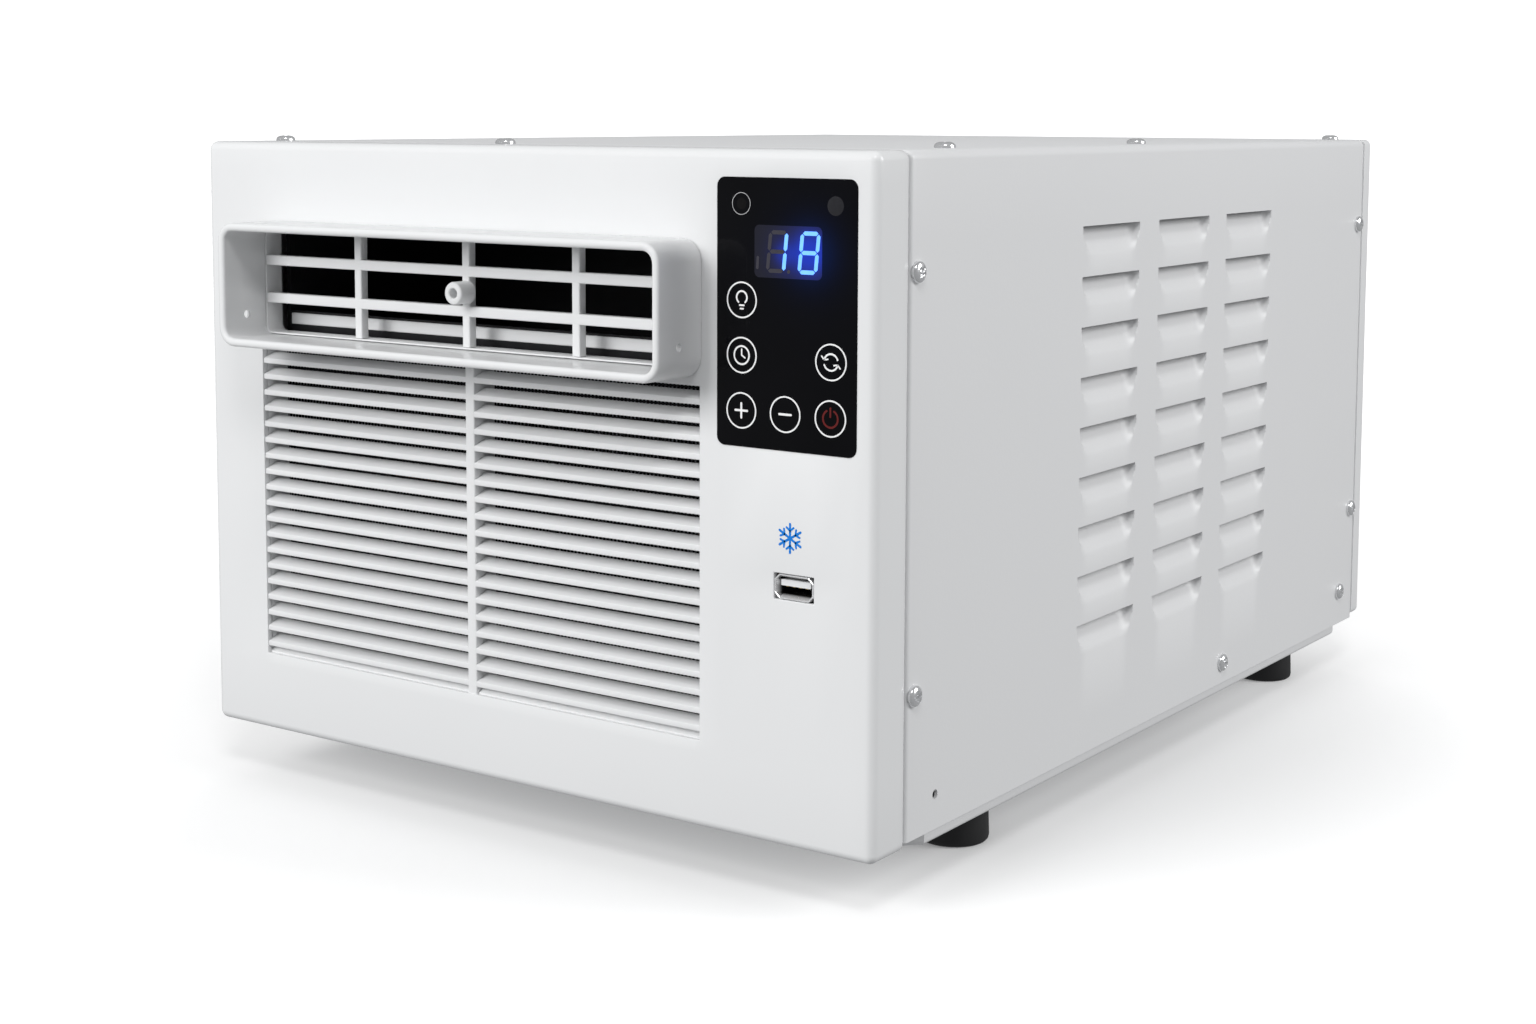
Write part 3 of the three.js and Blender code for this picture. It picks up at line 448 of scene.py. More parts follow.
def cover_sheet(low, high):
    """The outline up one wall, over the top and down the other, carried from front to rear.
    Each point lies inset from the outside in the flanges, and the louvres press the walls inwards."""
    half, top, length = high[0], high[2], high[1] - low[1]
    hole_y, hole_z, hole_radius = SPARE_HOLE

    # Heights up a wall, and each one's share of the way from a cut to the louvre's lower edge.
    cuts = top - LOUVRE_TOP - LOUVRE_PITCH * np.arange(LOUVRE_ROWS)[::-1]
    shares = np.array([1, 0.86, 0.72, 0.58, 0.44, 0.3, 0.17, 0.07, 0])
    louvre_z = np.append(cuts[:, None] - LOUVRE_HEIGHT * shares, cuts[:, None], axis=1).ravel()
    louvre_below = np.tile(np.append(shares, 1), LOUVRE_ROWS)
    foot_z = np.append(low[2], hole_lines(hole_z, hole_radius))
    wall_z = np.concatenate([foot_z, louvre_z, [top - COVER_BEND]])
    below = np.concatenate([np.ones(foot_z.size), louvre_below, [1]])

    # Distances behind the front edge, and how far in the flanges take the outline at each of them.
    ends = LOUVRE_START + LOUVRE_STEP * np.arange(LOUVRE_COLUMNS)[:, None]
    near = LOUVRE_END * np.array([0, 0.04, 0.12, 0.25, 0.42, 0.65, 1, 1.3, 1.65, 2.1])
    columns = [ends + near, ends + LOUVRE_LENGTH / 2, ends + LOUVRE_LENGTH - near]
    columns = np.append(hole_lines(hole_y, hole_radius), np.sort(np.concatenate(columns, axis=None)))
    fold = np.linspace(0, pi / 2, 5)
    fold_in, fold_on = FLANGE_BEND * (1 - np.sin(fold)), FLANGE_BEND * (1 - np.cos(fold))
    behind = np.concatenate([[0], fold_on, columns, length - fold_on[::-1], [length]])
    inset = np.concatenate([[FLANGE], fold_in, np.zeros(columns.size), fold_in[::-1], [FLANGE]])
    behind, inset = behind[:, None], inset[:, None]

    # The outline at each distance: the right wall, its bend, the top, then the same mirrored.
    bend = np.maximum(COVER_BEND - inset, 0.5)
    eave = top - inset - bend
    z_wall = low[2] + (wall_z - low[2]) * (eave - low[2]) / (top - COVER_BEND - low[2])
    y_wall, z_wall = round_hole(behind + 0 * z_wall, z_wall, (hole_y, hole_z), hole_radius)
    x_wall = half - inset - louvre_depth(behind, below)
    turn = np.linspace(0, pi / 2, 7)[1:-1]
    x_bend, z_bend = half - inset - bend + bend * np.cos(turn), eave + bend * np.sin(turn)
    x_top = (half - inset - bend) * np.linspace(1, -1, 9)
    x = np.concatenate([x_wall, x_bend, x_top, -x_bend[:, ::-1], -x_wall[:, ::-1]], axis=1)
    z = np.concatenate([z_wall, z_bend, top - inset + 0 * x_top, z_bend[:, ::-1], z_wall[:, ::-1]], axis=1)
    y_rest = behind + 0 * np.concatenate([x_bend, x_top, x_bend], axis=1)
    y = low[1] + np.concatenate([y_wall, y_rest, y_wall[:, ::-1]], axis=1)

    # No cell inside the spare hole, and none between a cut's two edges.
    hole = (hole_y - hole_radius, hole_y + hole_radius, hole_z - hole_radius, hole_z + hole_radius)
    keep_wall = outside(behind[:, 0], wall_z, [hole]) & (np.diff(wall_z) > 0)
    keep = np.ones((behind.size - 1, x.shape[1] - 1), bool)
    keep[:, : wall_z.size - 1] = keep_wall
    keep[:, 1 - wall_z.size :] = keep_wall[:, ::-1]
    return grid(np.stack([x, y, z], -1), keep)


cover_low, cover_high = span("cover")
add_piece(
    "cover_sheet", cover_sheet(cover_low, cover_high), white_powder,
    replaces=["cover"], wall=SHEET, degrees=30,
)


# ---- Rear panel ----
# A shallow steel tray, powder-coated like the cover. It closes the back with two columns of level
# exhaust slots, and its folded edge shows as a band behind the cover. Screws hold it to the case.
REAR_BEND = 2.6
REAR_SLOT_BOTTOM = 52.5  # from the panel's lower edge
REAR_SLOT_ROWS = 17
REAR_SLOT_PITCH = 9.0
REAR_SLOT_HEIGHT = 3.9
REAR_SLOT_NEAR = 4.0  # from the middle to where a slot begins
REAR_SLOT_FAR = 126.0
INLET_LAP = 2.7  # how far the inlet's flange covers the panel

rear_low, rear_high = span("rear_panel")
inlet_hole = window("mains_inlet", -INLET_LAP)


def round_ends(x, z, slots):
    """Slots with half-round ends: near an end the slot's edges close in as a circle's do."""
    radius = REAR_SLOT_HEIGHT / 2
    for x0, x1, z0, z1 in slots:
        middle = (z0 + z1) / 2
        inside = np.clip(np.minimum(x - x0, x1 - x), 0, radius)
        reach = np.sqrt(radius**2 - (radius - inside) ** 2)
        edge = np.isclose(abs(z - middle), radius, atol=1e-3) & (x > x0 - 1e-3) & (x < x1 + 1e-3)
        z = np.where(edge, middle + np.sign(z - middle) * reach, z)
    return x, z


slot_bottoms = rear_low[2] + REAR_SLOT_BOTTOM + REAR_SLOT_PITCH * np.arange(REAR_SLOT_ROWS)
rear_slots = [
    (x0, x1, z, z + REAR_SLOT_HEIGHT)
    for x0, x1 in ((-REAR_SLOT_FAR, -REAR_SLOT_NEAR), (REAR_SLOT_NEAR, REAR_SLOT_FAR))
    for z in slot_bottoms
]
slot_end = REAR_SLOT_HEIGHT / 2 * (1 - np.cos(np.linspace(0, pi / 2, 4)))
slot_run = np.append(REAR_SLOT_NEAR + slot_end, REAR_SLOT_FAR - slot_end)
slot_x = np.append(-slot_run, slot_run)
slot_z = np.concatenate([slot_bottoms, slot_bottoms + REAR_SLOT_HEIGHT])
rear_x = lines(rear_low[0], rear_high[0], REAR_BEND, *inlet_hole[:2], *slot_x)
rear_z = lines(rear_low[2], rear_high[2], REAR_BEND, *inlet_hole[2:], *slot_z)
rear_y = np.append(rear_high[1] - bend_steps(REAR_BEND), [rear_low[1]])
rear_points, rear_faces = tray(
    rear_x, rear_z, rear_high[1], rear_y, rear_low - OPEN_SIDE, rear_high, REAR_BEND,
    [inlet_hole, *rear_slots],
)
rounded_x, rounded_z = round_ends(rear_points[:, 0], rear_points[:, 2], rear_slots)
on_face = rear_points[:, 1] > rear_high[1] - 0.01
rear_points = np.stack([rounded_x, rear_points[:, 1], np.where(on_face, rounded_z, rear_points[:, 2])], -1)


def rear_flange():
    """The strip folded in from the tray's front edge: that edge, and the same edge moved in."""
    round_trip = [(x, rear_z[0]) for x in rear_x] + [(rear_x[-1], z) for z in rear_z]
    round_trip += [(x, rear_z[-1]) for x in rear_x[::-1]] + [(rear_x[0], z) for z in rear_z[::-1]]
    edge = np.array([(x, rear_low[1], z) for x, z in round_trip])
    edge = round_off(edge, rear_low - OPEN_SIDE, rear_high, REAR_BEND)
    inner = np.clip(edge, rear_low + FLANGE, rear_high - FLANGE)
    inner[:, 1] = rear_low[1]
    return grid(np.stack([edge, inner]), close=(False, True))


rear_tray = joined((rear_points, rear_faces), rear_flange())
add_piece("rear_panel_sheet", rear_tray, white_powder, replaces=["rear_panel"], wall=SHEET)


# ---- Base pan ----
# The steel tray under everything, folded up all round to catch condensate, with clipped front corners.
# Its edge shows below the cover, set in a little.
PAN_CLIP = 7.0
PAN_CORNER = 2.0
PAN_BEND = 2.0
PAN_FLOOR_INSET = 20.0  # from the fold to the ring that the floor's last face fills

pan_low, pan_high = span("base_pan")


def pan_ring(inset):
    """The pan's outline in plan: a rectangle with clipped front corners, moved in by the inset."""
    x, front, rear = pan_high[0] - inset, pan_low[1] + inset, pan_high[1] - inset
    clip, corner = PAN_CLIP, PAN_CORNER
    return np.array([
        [clip - x, front], [x - clip, front], [x, front + clip], [x, rear - corner],
        [x - corner, rear], [corner - x, rear], [-x, rear - corner], [-x, front + clip],
    ])


def pan_sheet():
    """Rings of the outline down the wall, round the fold and in under the floor, closed by one face."""
    fold = np.linspace(0, pi / 2, 5)
    insets = np.concatenate([[0], PAN_BEND * (1 - np.cos(fold)), [PAN_BEND + PAN_FLOOR_INSET]])
    heights = np.concatenate([[pan_high[2]], pan_low[2] + PAN_BEND * (1 - np.sin(fold)), [pan_low[2]]])
    levels = [np.column_stack([pan_ring(inset), np.full(8, z)]) for inset, z in zip(insets, heights)]
    points, faces = grid(np.stack(levels), close=(False, True))
    return points, faces + [np.arange(len(points) - 8, len(points))[None, :]]


add_piece(
    "base_pan_sheet", pan_sheet(), white_powder,
    replaces=["base_pan"], wall=SHEET, degrees=30,
)


# ---- Outlet hood ----
# A short white collar that stands out round the outlet and takes a duct adapter. Its rim and corners
# are rounded, and each side wall has one small hole for the adapter's screw.
HOOD_CORNER = 7.0
HOOD_RIM = 1.3
HOOD_HOLE = (11.0, 180.0)  # behind the rim and above the floor
HOOD_HOLE_RADIUS = 1.4
HOOD_SINK_RADIUS = 3.0  # the left hole widens to this on the outside, for a sunk head


def rounded_rectangle(x0, x1, z0, z1, corner, right=(), left=(), steps=6):
    """An outline with a quarter circle round each corner, anticlockwise from the lower left corner's end.
    right and left are the heights of extra points on the two side lines."""
    turn = np.linspace(0, pi / 2, steps + 1)

    def arc(x, z, start):
        return np.column_stack([x + corner * np.cos(start + turn), z + corner * np.sin(start + turn)])

    return np.concatenate([
        arc(x1 - corner, z0 + corner, -pi / 2),
        np.column_stack([np.full(len(right), x1), right]),
        arc(x1 - corner, z1 - corner, 0),
        arc(x0 + corner, z1 - corner, pi / 2),
        np.column_stack([np.full(len(left), x0), left[::-1]]),
        arc(x0 + corner, z0 + corner, pi),
    ])


def rings(outline, section):
    """A section of (inset, y) pairs carried round an outline: each pair is the outline at that inset."""
    return np.stack([np.insert(outline(inset), 1, y, axis=1) for inset, y in section])


def turned(profile, centre, axis, sides=32):
    """A profile of (radius, height) pairs turned about an axis through the centre."""
    radius, height = np.array(profile, float).T
    turn = np.linspace(0, tau, sides + 1)[:-1, None]
    ring = np.stack([height + 0 * turn, radius * np.cos(turn), radius * np.sin(turn)], -1)
    return grid(np.roll(ring, axis, axis=-1) + np.array(centre), close=(True, False))


def hood_collar(low, high, inner):
    """A U of outer wall, rounded rim and inner wall, carried round the outlet; tubes line the two holes.
    The left hole's radius goes evenly from the sink's on the outside to the hole's on the inside."""
    wall_left, wall_right = inner[0] - low[0], high[0] - inner[1]
    wall_z = inner[2] - low[2]
    hole_y, hole_z = low[1] + HOOD_HOLE[0], HOOD_HOLE[1]

    def left_radius(share):
        return HOOD_SINK_RADIUS + share * (HOOD_HOLE_RADIUS - HOOD_SINK_RADIUS)

    def outline(share):
        corner = HOOD_CORNER - share * wall_z
        x0, x1 = low[0] + share * wall_left, high[0] - share * wall_right
        z0, z1 = low[2] + share * wall_z, high[2] - share * wall_z
        right_z, left_z = hole_lines(hole_z, HOOD_HOLE_RADIUS), hole_lines(hole_z, left_radius(share))
        return rounded_rectangle(x0, x1, z0, z1, corner, right_z, left_z)

    turn = np.linspace(0, pi / 2, 5)
    rim_out = [(HOOD_RIM * (1 - cos(a)) / wall_z, low[1] + HOOD_RIM * (1 - sin(a))) for a in turn]
    rim_in = [(1 - share, y) for share, y in rim_out[::-1]]
    inner_rows = hole_lines(hole_y, HOOD_HOLE_RADIUS)
    outer_rows = np.unique(np.concatenate([inner_rows, hole_lines(hole_y, HOOD_SINK_RADIUS)]).round(5))
    wall_out = [(0, y) for y in [high[1], *outer_rows[::-1]]]
    wall_in = [(1, y) for y in [*inner_rows, high[1]]]
    section = wall_out + rim_out + rim_in + wall_in
    points = rings(outline, section)
    shares = np.array([share for share, _ in section])[:, None]
    radius = np.where(points[..., 0] > inner[1] - 0.01, HOOD_HOLE_RADIUS, left_radius(shares))
    points[..., 1], points[..., 2] = round_hole(points[..., 1], points[..., 2], (hole_y, hole_z), radius)
    after = np.roll(points, -1, axis=0)
    middle = (points + after + np.roll(points, -1, axis=1) + np.roll(after, -1, axis=1)) / 4
    keep = np.hypot(middle[..., 1] - hole_y, middle[..., 2] - hole_z) > radius * 0.95
    left_tube = [(HOOD_SINK_RADIUS, low[0]), (HOOD_HOLE_RADIUS, inner[0])]
    right_tube = [(HOOD_HOLE_RADIUS, inner[1]), (HOOD_HOLE_RADIUS, high[0])]
    tubes = [turned(ends, (0, hole_y, hole_z), 0, 24) for ends in (left_tube, right_tube)]
    return joined(grid(points, keep, close=(True, True)), *tubes)


hood_low, hood_high = span("outlet_hood")
add_piece(
    "outlet_hood_collar", hood_collar(hood_low, hood_high, outlet), white_abs,
    replaces=["outlet_hood"], degrees=50,
)


# ---- Outlet grid ----
# A white moulding behind the hood: a deep frame, two level bars, three upright bars and a drilled stud
# on the middle one. It keeps fingers out of the duct. Every bar has softly rounded edges.
BAR_EDGE = 0.55
BAR_DEPTH = 3.5
LEVEL_BARS = (183.7, 197.6)
LEVEL_BAR_HEIGHT = 3.7
UPRIGHT_BARS = (-68.0, -15.9, 33.4)
UPRIGHT_BAR_WIDTH = 3.4
BAR_START = 6.4  # from the stud's tip to the bars' front
BAR_END_GAP = 0.8  # from the frame's outside to a bar's end
GRID_WALL = 0.6
GRID_DEPTH = 7.5
GRID_CORNER = 2.5
STUD = (-15.9, 192.2)
STUD_RADIUS = 4.0
STUD_BORE = 1.75


def filleted(corners, radius, steps=4):
    """A closed outline whose corners are arcs, each one tangent to the two sides that it joins."""
    corners = np.array(corners, float)
    before = np.roll(corners, 1, axis=0) - corners
    after = np.roll(corners, -1, axis=0) - corners
    before /= np.linalg.norm(before, axis=1, keepdims=True)
    after /= np.linalg.norm(after, axis=1, keepdims=True)
    half = np.arccos(np.clip((before * after).sum(1), -1, 1))[:, None] / 2
    out = (before + after) / np.linalg.norm(before + after, axis=1, keepdims=True)
    centre = corners + out * radius / np.sin(half)
    start = corners + before * radius / np.tan(half) - centre
    end = corners + after * radius / np.tan(half) - centre
    share, swing = np.linspace(0, 1, steps + 1)[None, :, None], (pi - 2 * half)[:, :, None]
    arc = start[:, None] * np.sin((1 - share) * swing) + end[:, None] * np.sin(share * swing)
    return (centre[:, None] + arc / np.sin(swing)).reshape(-1, 2)


def prism(outline, start, end, axis):
    """An outline pushed along an axis from start to end, with a face over each end.
    The outline's two values are the other two of x, y and z, in that order."""
    layers = np.stack([np.insert(outline, axis, level, axis=1) for level in (start, end)])
    count = len(outline)
    points, faces = grid(layers, close=(False, True))
    return points, faces + [np.arange(2 * count).reshape(2, count)]


def bar(sides, edge, ends, axis):
    """A straight bar with rounded edges: a filleted rectangle pushed along an axis."""
    a0, a1, b0, b1 = sides
    return prism(filleted([(a0, b0), (a1, b0), (a1, b1), (a0, b1)], edge), *ends, axis)


def frame_collar(limits, wall, front, back, edge, corner=0.6):
    """A rectangular frame of square section whose front edges are rounded."""
    x0, x1, z0, z1 = limits

    def outline(inset):
        return rounded_rectangle(x0 + inset, x1 - inset, z0 + inset, z1 - inset, corner, steps=4)

    turn = np.linspace(0, pi / 2, 4)
    rim = [(edge * (1 - cos(a)), front + edge * (1 - sin(a))) for a in turn]
    section = [(0, back)] + rim + [(wall - inset, y) for inset, y in rim[::-1]] + [(wall, back)]
    return grid(rings(outline, section), close=(True, True))


grid_low, grid_high = span("outlet_grid")
bar_front = grid_low[1] + BAR_START
bar_back = bar_front + BAR_DEPTH
level_ends = (grid_low[0] + BAR_END_GAP, grid_high[0] - BAR_END_GAP)
level_bars = [
    bar((bar_front, bar_back, z, z + LEVEL_BAR_HEIGHT), BAR_EDGE, level_ends, 0) for z in LEVEL_BARS
]
upright_ends = (grid_low[2] + BAR_END_GAP, grid_high[2] - BAR_END_GAP)
upright_half = UPRIGHT_BAR_WIDTH / 2
upright_bars = [
    bar((x - upright_half, x + upright_half, bar_front + 0.07, bar_back + 0.2), BAR_EDGE, upright_ends, 2)
    for x in UPRIGHT_BARS
]
stud_tip = grid_low[1]
stud_profile = [
    (0, bar_front + 0.5), (STUD_RADIUS + 0.25, bar_front + 0.5), (STUD_RADIUS, bar_front - 0.4),
    (STUD_RADIUS, stud_tip + 0.7), (STUD_RADIUS - 0.2, stud_tip + 0.25), (STUD_RADIUS - 0.6, stud_tip),
    (STUD_BORE + 0.35, stud_tip), (STUD_BORE, stud_tip + 0.35), (STUD_BORE, stud_tip + 4.5),
    (0, stud_tip + 4.9),
]
grid_frame = frame_collar(
    window("outlet_grid", 0), GRID_WALL, bar_front - 0.06, bar_front + GRID_DEPTH, 0.2, GRID_CORNER
)
stud = turned(stud_profile, (STUD[0], 0, STUD[1]), 1)
outlet_grid = joined(grid_frame, *level_bars, *upright_bars, stud)
add_piece("outlet_grid_moulding", outlet_grid, white_abs, replaces=["outlet_grid"])


# ---- Intake grille ----
# Nineteen sloping slats in a frame that sits behind the front panel, halved by an upright divider.
# Each slat has a rounded nose and leans up towards the back; a sill slopes up below the last one.
SLAT_PITCH = 6.0
SLAT_FIRST = 2.4  # from the frame's lower edge to the first slat
SLAT_THICK = 2.2
SLAT_DEPTH = 5.8
SLAT_RISE = 2.6
SLAT_NOSE = 0.4
SLAT_TUCK = 0.4  # how far a slat reaches into the frame and into the divider
DIVIDER = (-19.8, -15.6)
GRILLE_WALL = 1.6
SILL_RISE = 2.6

grille_low, grille_high = span("intake_grille")
grille_x, grille_z = intake[:2], intake[2:]
slat_front = grille_low[1] + 0.2


def slat(z, x0, x1):
    """A leaning parallelogram with rounded corners, pushed along x."""
    back, lift = slat_front + SLAT_DEPTH, z + SLAT_RISE
    corners = [(slat_front, z), (back, lift), (back, lift + SLAT_THICK * 0.8), (slat_front, z + SLAT_THICK)]
    return prism(filleted(corners, SLAT_NOSE), x0, x1, 0)


slat_heights = np.arange(grille_z[0] + SLAT_FIRST, grille_z[1] - SLAT_THICK, SLAT_PITCH)
grille_ends = (grille_x[0] - SLAT_TUCK, grille_x[1] + SLAT_TUCK)
runs = ((grille_ends[0], DIVIDER[0] + SLAT_TUCK), (DIVIDER[1] - SLAT_TUCK, grille_ends[1]))
slats = [slat(z, *run) for z in slat_heights for run in runs]
divider_ends = (grille_z[0] - SLAT_TUCK, grille_z[1] + SLAT_TUCK)
divider = bar((*DIVIDER, slat_front - 0.1, grille_high[1] - 1), 0.6, divider_ends, 2)
sill_front, sill_back, sill_foot = slat_front + 1.0, slat_front + SLAT_DEPTH, grille_z[0] - 0.3
sill_corners = [
    (sill_front, sill_foot), (sill_back, sill_foot),
    (sill_back, grille_z[0] + SILL_RISE + 1), (sill_front, grille_z[0] + 0.5),
]
sill = prism(filleted(sill_corners, 0.2), *grille_ends, 0)
frame_sides = np.array(intake) + GRILLE_WALL * np.array([-1, 1, -1, 1])
grille_frame = frame_collar(frame_sides, GRILLE_WALL, panel_low[1] + PANEL_WALL + 0.1, grille_high[1], 0.3)
add_piece(
    "intake_grille_slats", joined(grille_frame, *slats, divider, sill), white_abs,
    replaces=["intake_grille"],
)


# ---- Keypad plate ----
# A plate of black acrylic with polished edges, glued over the control board. The touch keys are rings
# and signs printed on it in white ink, one of them in red: they sense a finger and don't travel.
PLATE_CORNER = 3.0
PLATE_EDGE = 0.45
PLATE_PROUD = 0.4  # how far its face stands out past the CAD plate's
INK = 0.05  # thickness of a printed line
INK_STEP = 0.01  # a line that meets another lies this much higher
KEY_RADIUS = 5.6
KEY_LINE = 0.5
SIGN_LINE = 0.72
DIGIT_GLOW = (125.5, 211.0)  # where the digits' light falls on the plate
KEYS = {
    "light": (99.7, 195.3), "timer": (99.7, 177.7), "mode": (133.6, 177.6),
    "warmer": (99.6, 160.0), "cooler": (116.5, 160.0), "power": (133.5, 160.0),
}

black_acrylic = Finish("black_acrylic", {"Specular IOR Level": 0.16})


def glow(finish, centre, reach, strength):
    """Light round a point on the plate: its strength over one more than the fourth power of the
    distance, which is counted in reaches. So it stays even inside its reach and is soon gone beyond."""
    middle = (centre[0] * MM, plate_low[1] * MM, centre[1] * MM)
    offset = finish.node("ShaderNodeVectorMath", {"operation": "SUBTRACT"}, {0: finish.place, 1: middle})
    far = finish.node("ShaderNodeVectorMath", {"operation": "LENGTH"}, {0: offset}, output=1) / (reach * MM)
    return strength / (1 + far * far * far * far)


plate_low, _ = span("control_panel")
black_acrylic.mottle((0.001, 0.001, 0.0015), (0.002, 0.002, 0.003), 18)
black_acrylic.roughen(0.045, 0.09, 9, 5)
halo = black_acrylic.blend(glow(black_acrylic, DIGIT_GLOW, 8.5, 0.05), (0, 0, 0), (0.0, 0.14, 1.0))
black_acrylic.feed({"Emission Color": halo, "Emission Strength": 1.0})
black_acrylic.grain(0.004, 40, 0)


def slab(outline, section):
    """A section of (inset, y) pairs from back to front, carried round an outline and closed at both ends."""
    points, faces = grid(rings(outline, section), close=(False, True))
    count = len(outline(0))
    caps = [np.arange(count)[None, :], np.arange(len(points) - count, len(points))[None, :]]
    return points, faces + caps


def plate_outline(limits, corner):
    """The outline of a rounded rectangle as a function of its inset."""
    x0, x1, z0, z1 = limits

    def outline(inset):
        bend = max(corner - inset, 0.1)
        return rounded_rectangle(x0 + inset, x1 - inset, z0 + inset, z1 - inset, bend, steps=8)

    return outline


plate_front = plate_low[1] - PLATE_PROUD
plate_turn = np.linspace(0, pi / 2, 4)
plate_section = [(0, plate_low[1] + 0.2)] + [
    (PLATE_EDGE * (1 - cos(a)), plate_front + PLATE_EDGE * 0.7 * (1 - sin(a))) for a in plate_turn
]
plate = slab(plate_outline(keypad, PLATE_CORNER), plate_section)
add_piece("keypad_plate", plate, black_acrylic, replaces=["control_panel"])


def ink(name, roughness, first, second, size=1.5):
    """Printed ink: a fine mottle between two colours, and a grain that breaks its gloss."""
    finish = Finish(name, {"Roughness": roughness})
    finish.mottle(first, second, size, 3)
    finish.grain(0.004, 0.3)
    return finish


white_ink = ink("white_ink", 0.45, (0.8, 0.8, 0.8), (0.93, 0.93, 0.93))
red_ink = ink("red_ink", 0.4, (0.1, 0.006, 0.006), (0.14, 0.009, 0.008))
blue_ink = ink("blue_ink", 0.4, (0.0, 0.17, 0.62), (0.01, 0.22, 0.72))


def stroke(path, width, front, tip="round", closed=False):
    """A printed line: a flat band carried along a path of (x, z) points, with round or pointed tips.
    Beyond each end the band narrows as a circle does, or evenly to a point."""
    path = np.array(path, float)
    half = np.full(len(path), width / 2)
    if not closed:
        turn = np.linspace(0, pi / 2, 5)[1:]
        ahead, narrow = np.sin(turn), np.cos(turn)
        if tip == "point":
            ahead, narrow = np.array([1.0]), np.array([0.02])
        first, last = path[0] - path[1], path[-1] - path[-2]
        first, last = first / np.hypot(*first), last / np.hypot(*last)
        reach = (ahead * width / 2)[:, None]
        path = np.concatenate([(path[0] + first * reach)[::-1], path, path[-1] + last * reach])
        half = np.concatenate([(narrow * width / 2)[::-1], half, narrow * width / 2])
    along = np.roll(path, -1, axis=0) - np.roll(path, 1, axis=0) if closed else np.gradient(path, axis=0)
    along /= np.linalg.norm(along, axis=1, keepdims=True)
    side = np.column_stack([-along[:, 1], along[:, 0]]) * half[:, None]
    back = front + INK
    corners = [(path + side, back), (path + side, front), (path - side, front), (path - side, back)]
    points = np.stack([np.insert(edge, 1, y, axis=1) for edge, y in corners], axis=1)
    surface, faces = grid(points, close=(closed, True))
    if not closed:
        last = len(surface) - 4
        faces = faces + [np.array([[0, 1, 2, 3], [last, last + 1, last + 2, last + 3]])]
    return surface, faces


def arc_path(centre, radius, start, end, steps=32):
    """Points on an arc between two angles in degrees, anticlockwise from the right."""
    turn = np.radians(np.linspace(start, end, steps + 1))
    return np.column_stack([centre[0] + radius * np.cos(turn), centre[1] + radius * np.sin(turn)])


def circle(centre, radius, width, front):
    return stroke(arc_path(centre, radius, 0, 360, 48)[:-1], width, front, closed=True)


def lamp_sign(x, z, front):
    """A bulb: a round top that narrows to a neck, and two short lines for its cap."""
    bulb = arc_path((x, z + 0.8), 2.0, -50, 230)
    neck = [(x - 0.8, z - 1.7), (x + 0.8, z - 1.7)]
    cap = [(x - 0.5, z - 2.8), (x + 0.5, z - 2.8)]
    return [stroke(path, SIGN_LINE * 0.8, front) for path in (bulb, neck, cap)]


def clock_sign(x, z, front):
    """A clock face with two hands."""
    face = circle((x, z), 2.9, SIGN_LINE * 0.8, front)
    minute_hand = stroke([(x, z + 1.9), (x, z)], SIGN_LINE * 0.7, front)
    hour_hand = stroke([(x, z), (x + 1.3, z - 0.8)], SIGN_LINE * 0.7, front - INK_STEP)
    return [face, minute_hand, hour_hand]


def cycle_sign(x, z, front):
    """Two arrows that chase each other round, for stepping through the modes."""
    signs = []
    for turn in (0, 180):
        signs.append(stroke(arc_path((x, z), 2.6, 20 + turn, 150 + turn, 16), SIGN_LINE * 0.8, front))
        tip = arc_path((x, z), 2.6, 165 + turn, 165 + turn, 1)[0]
        for bend in (55, -65):
            way = radians(75 + turn + bend)
            tail = tip + 1.4 * np.array([cos(way), sin(way)])
            signs.append(stroke([tip, tail], SIGN_LINE * 0.7, front - INK_STEP))
    return signs


ink_front = plate_front - INK
key_rings = [circle(centre, KEY_RADIUS, KEY_LINE, ink_front) for centre in KEYS.values()]
warmer_x, warmer_z = KEYS["warmer"]
cooler_x, cooler_z = KEYS["cooler"]
plus_sign = [
    stroke([(warmer_x - 2.3, warmer_z), (warmer_x + 2.3, warmer_z)], SIGN_LINE, ink_front),
    stroke([(warmer_x, warmer_z - 2.3), (warmer_x, warmer_z + 2.3)], SIGN_LINE, ink_front - INK_STEP),
]
minus_sign = stroke([(cooler_x - 2.2, cooler_z), (cooler_x + 2.2, cooler_z)], SIGN_LINE, ink_front)
white_signs = joined(
    *key_rings, *plus_sign, minus_sign,
    *lamp_sign(*KEYS["light"], ink_front),
    *clock_sign(*KEYS["timer"], ink_front),
    *cycle_sign(*KEYS["mode"], ink_front),
)
add_piece("keypad_white_print", white_signs, white_ink)
power_x, power_z = KEYS["power"]
power_sign = joined(
    stroke(arc_path((power_x, power_z), 2.75, 120, 420), SIGN_LINE * 0.9, ink_front),
    stroke([(power_x, power_z + 0.6), (power_x, power_z + 3.3)], SIGN_LINE * 0.9, ink_front),
)
add_piece("keypad_red_print", power_sign, red_ink)


# ---- Infrared window and light sensor ----
# Two small round windows at the plate's top: a black lens in a thin printed ring, over the remote's
# receiver, and a smoky disc over the light sensor.
SENSOR = (135.0, 225.9)
SENSOR_RADIUS = 3.0


def middle_of(node):
    """The middle of a CAD node's box."""
    low, high = span(node)
    return (low + high) / 2


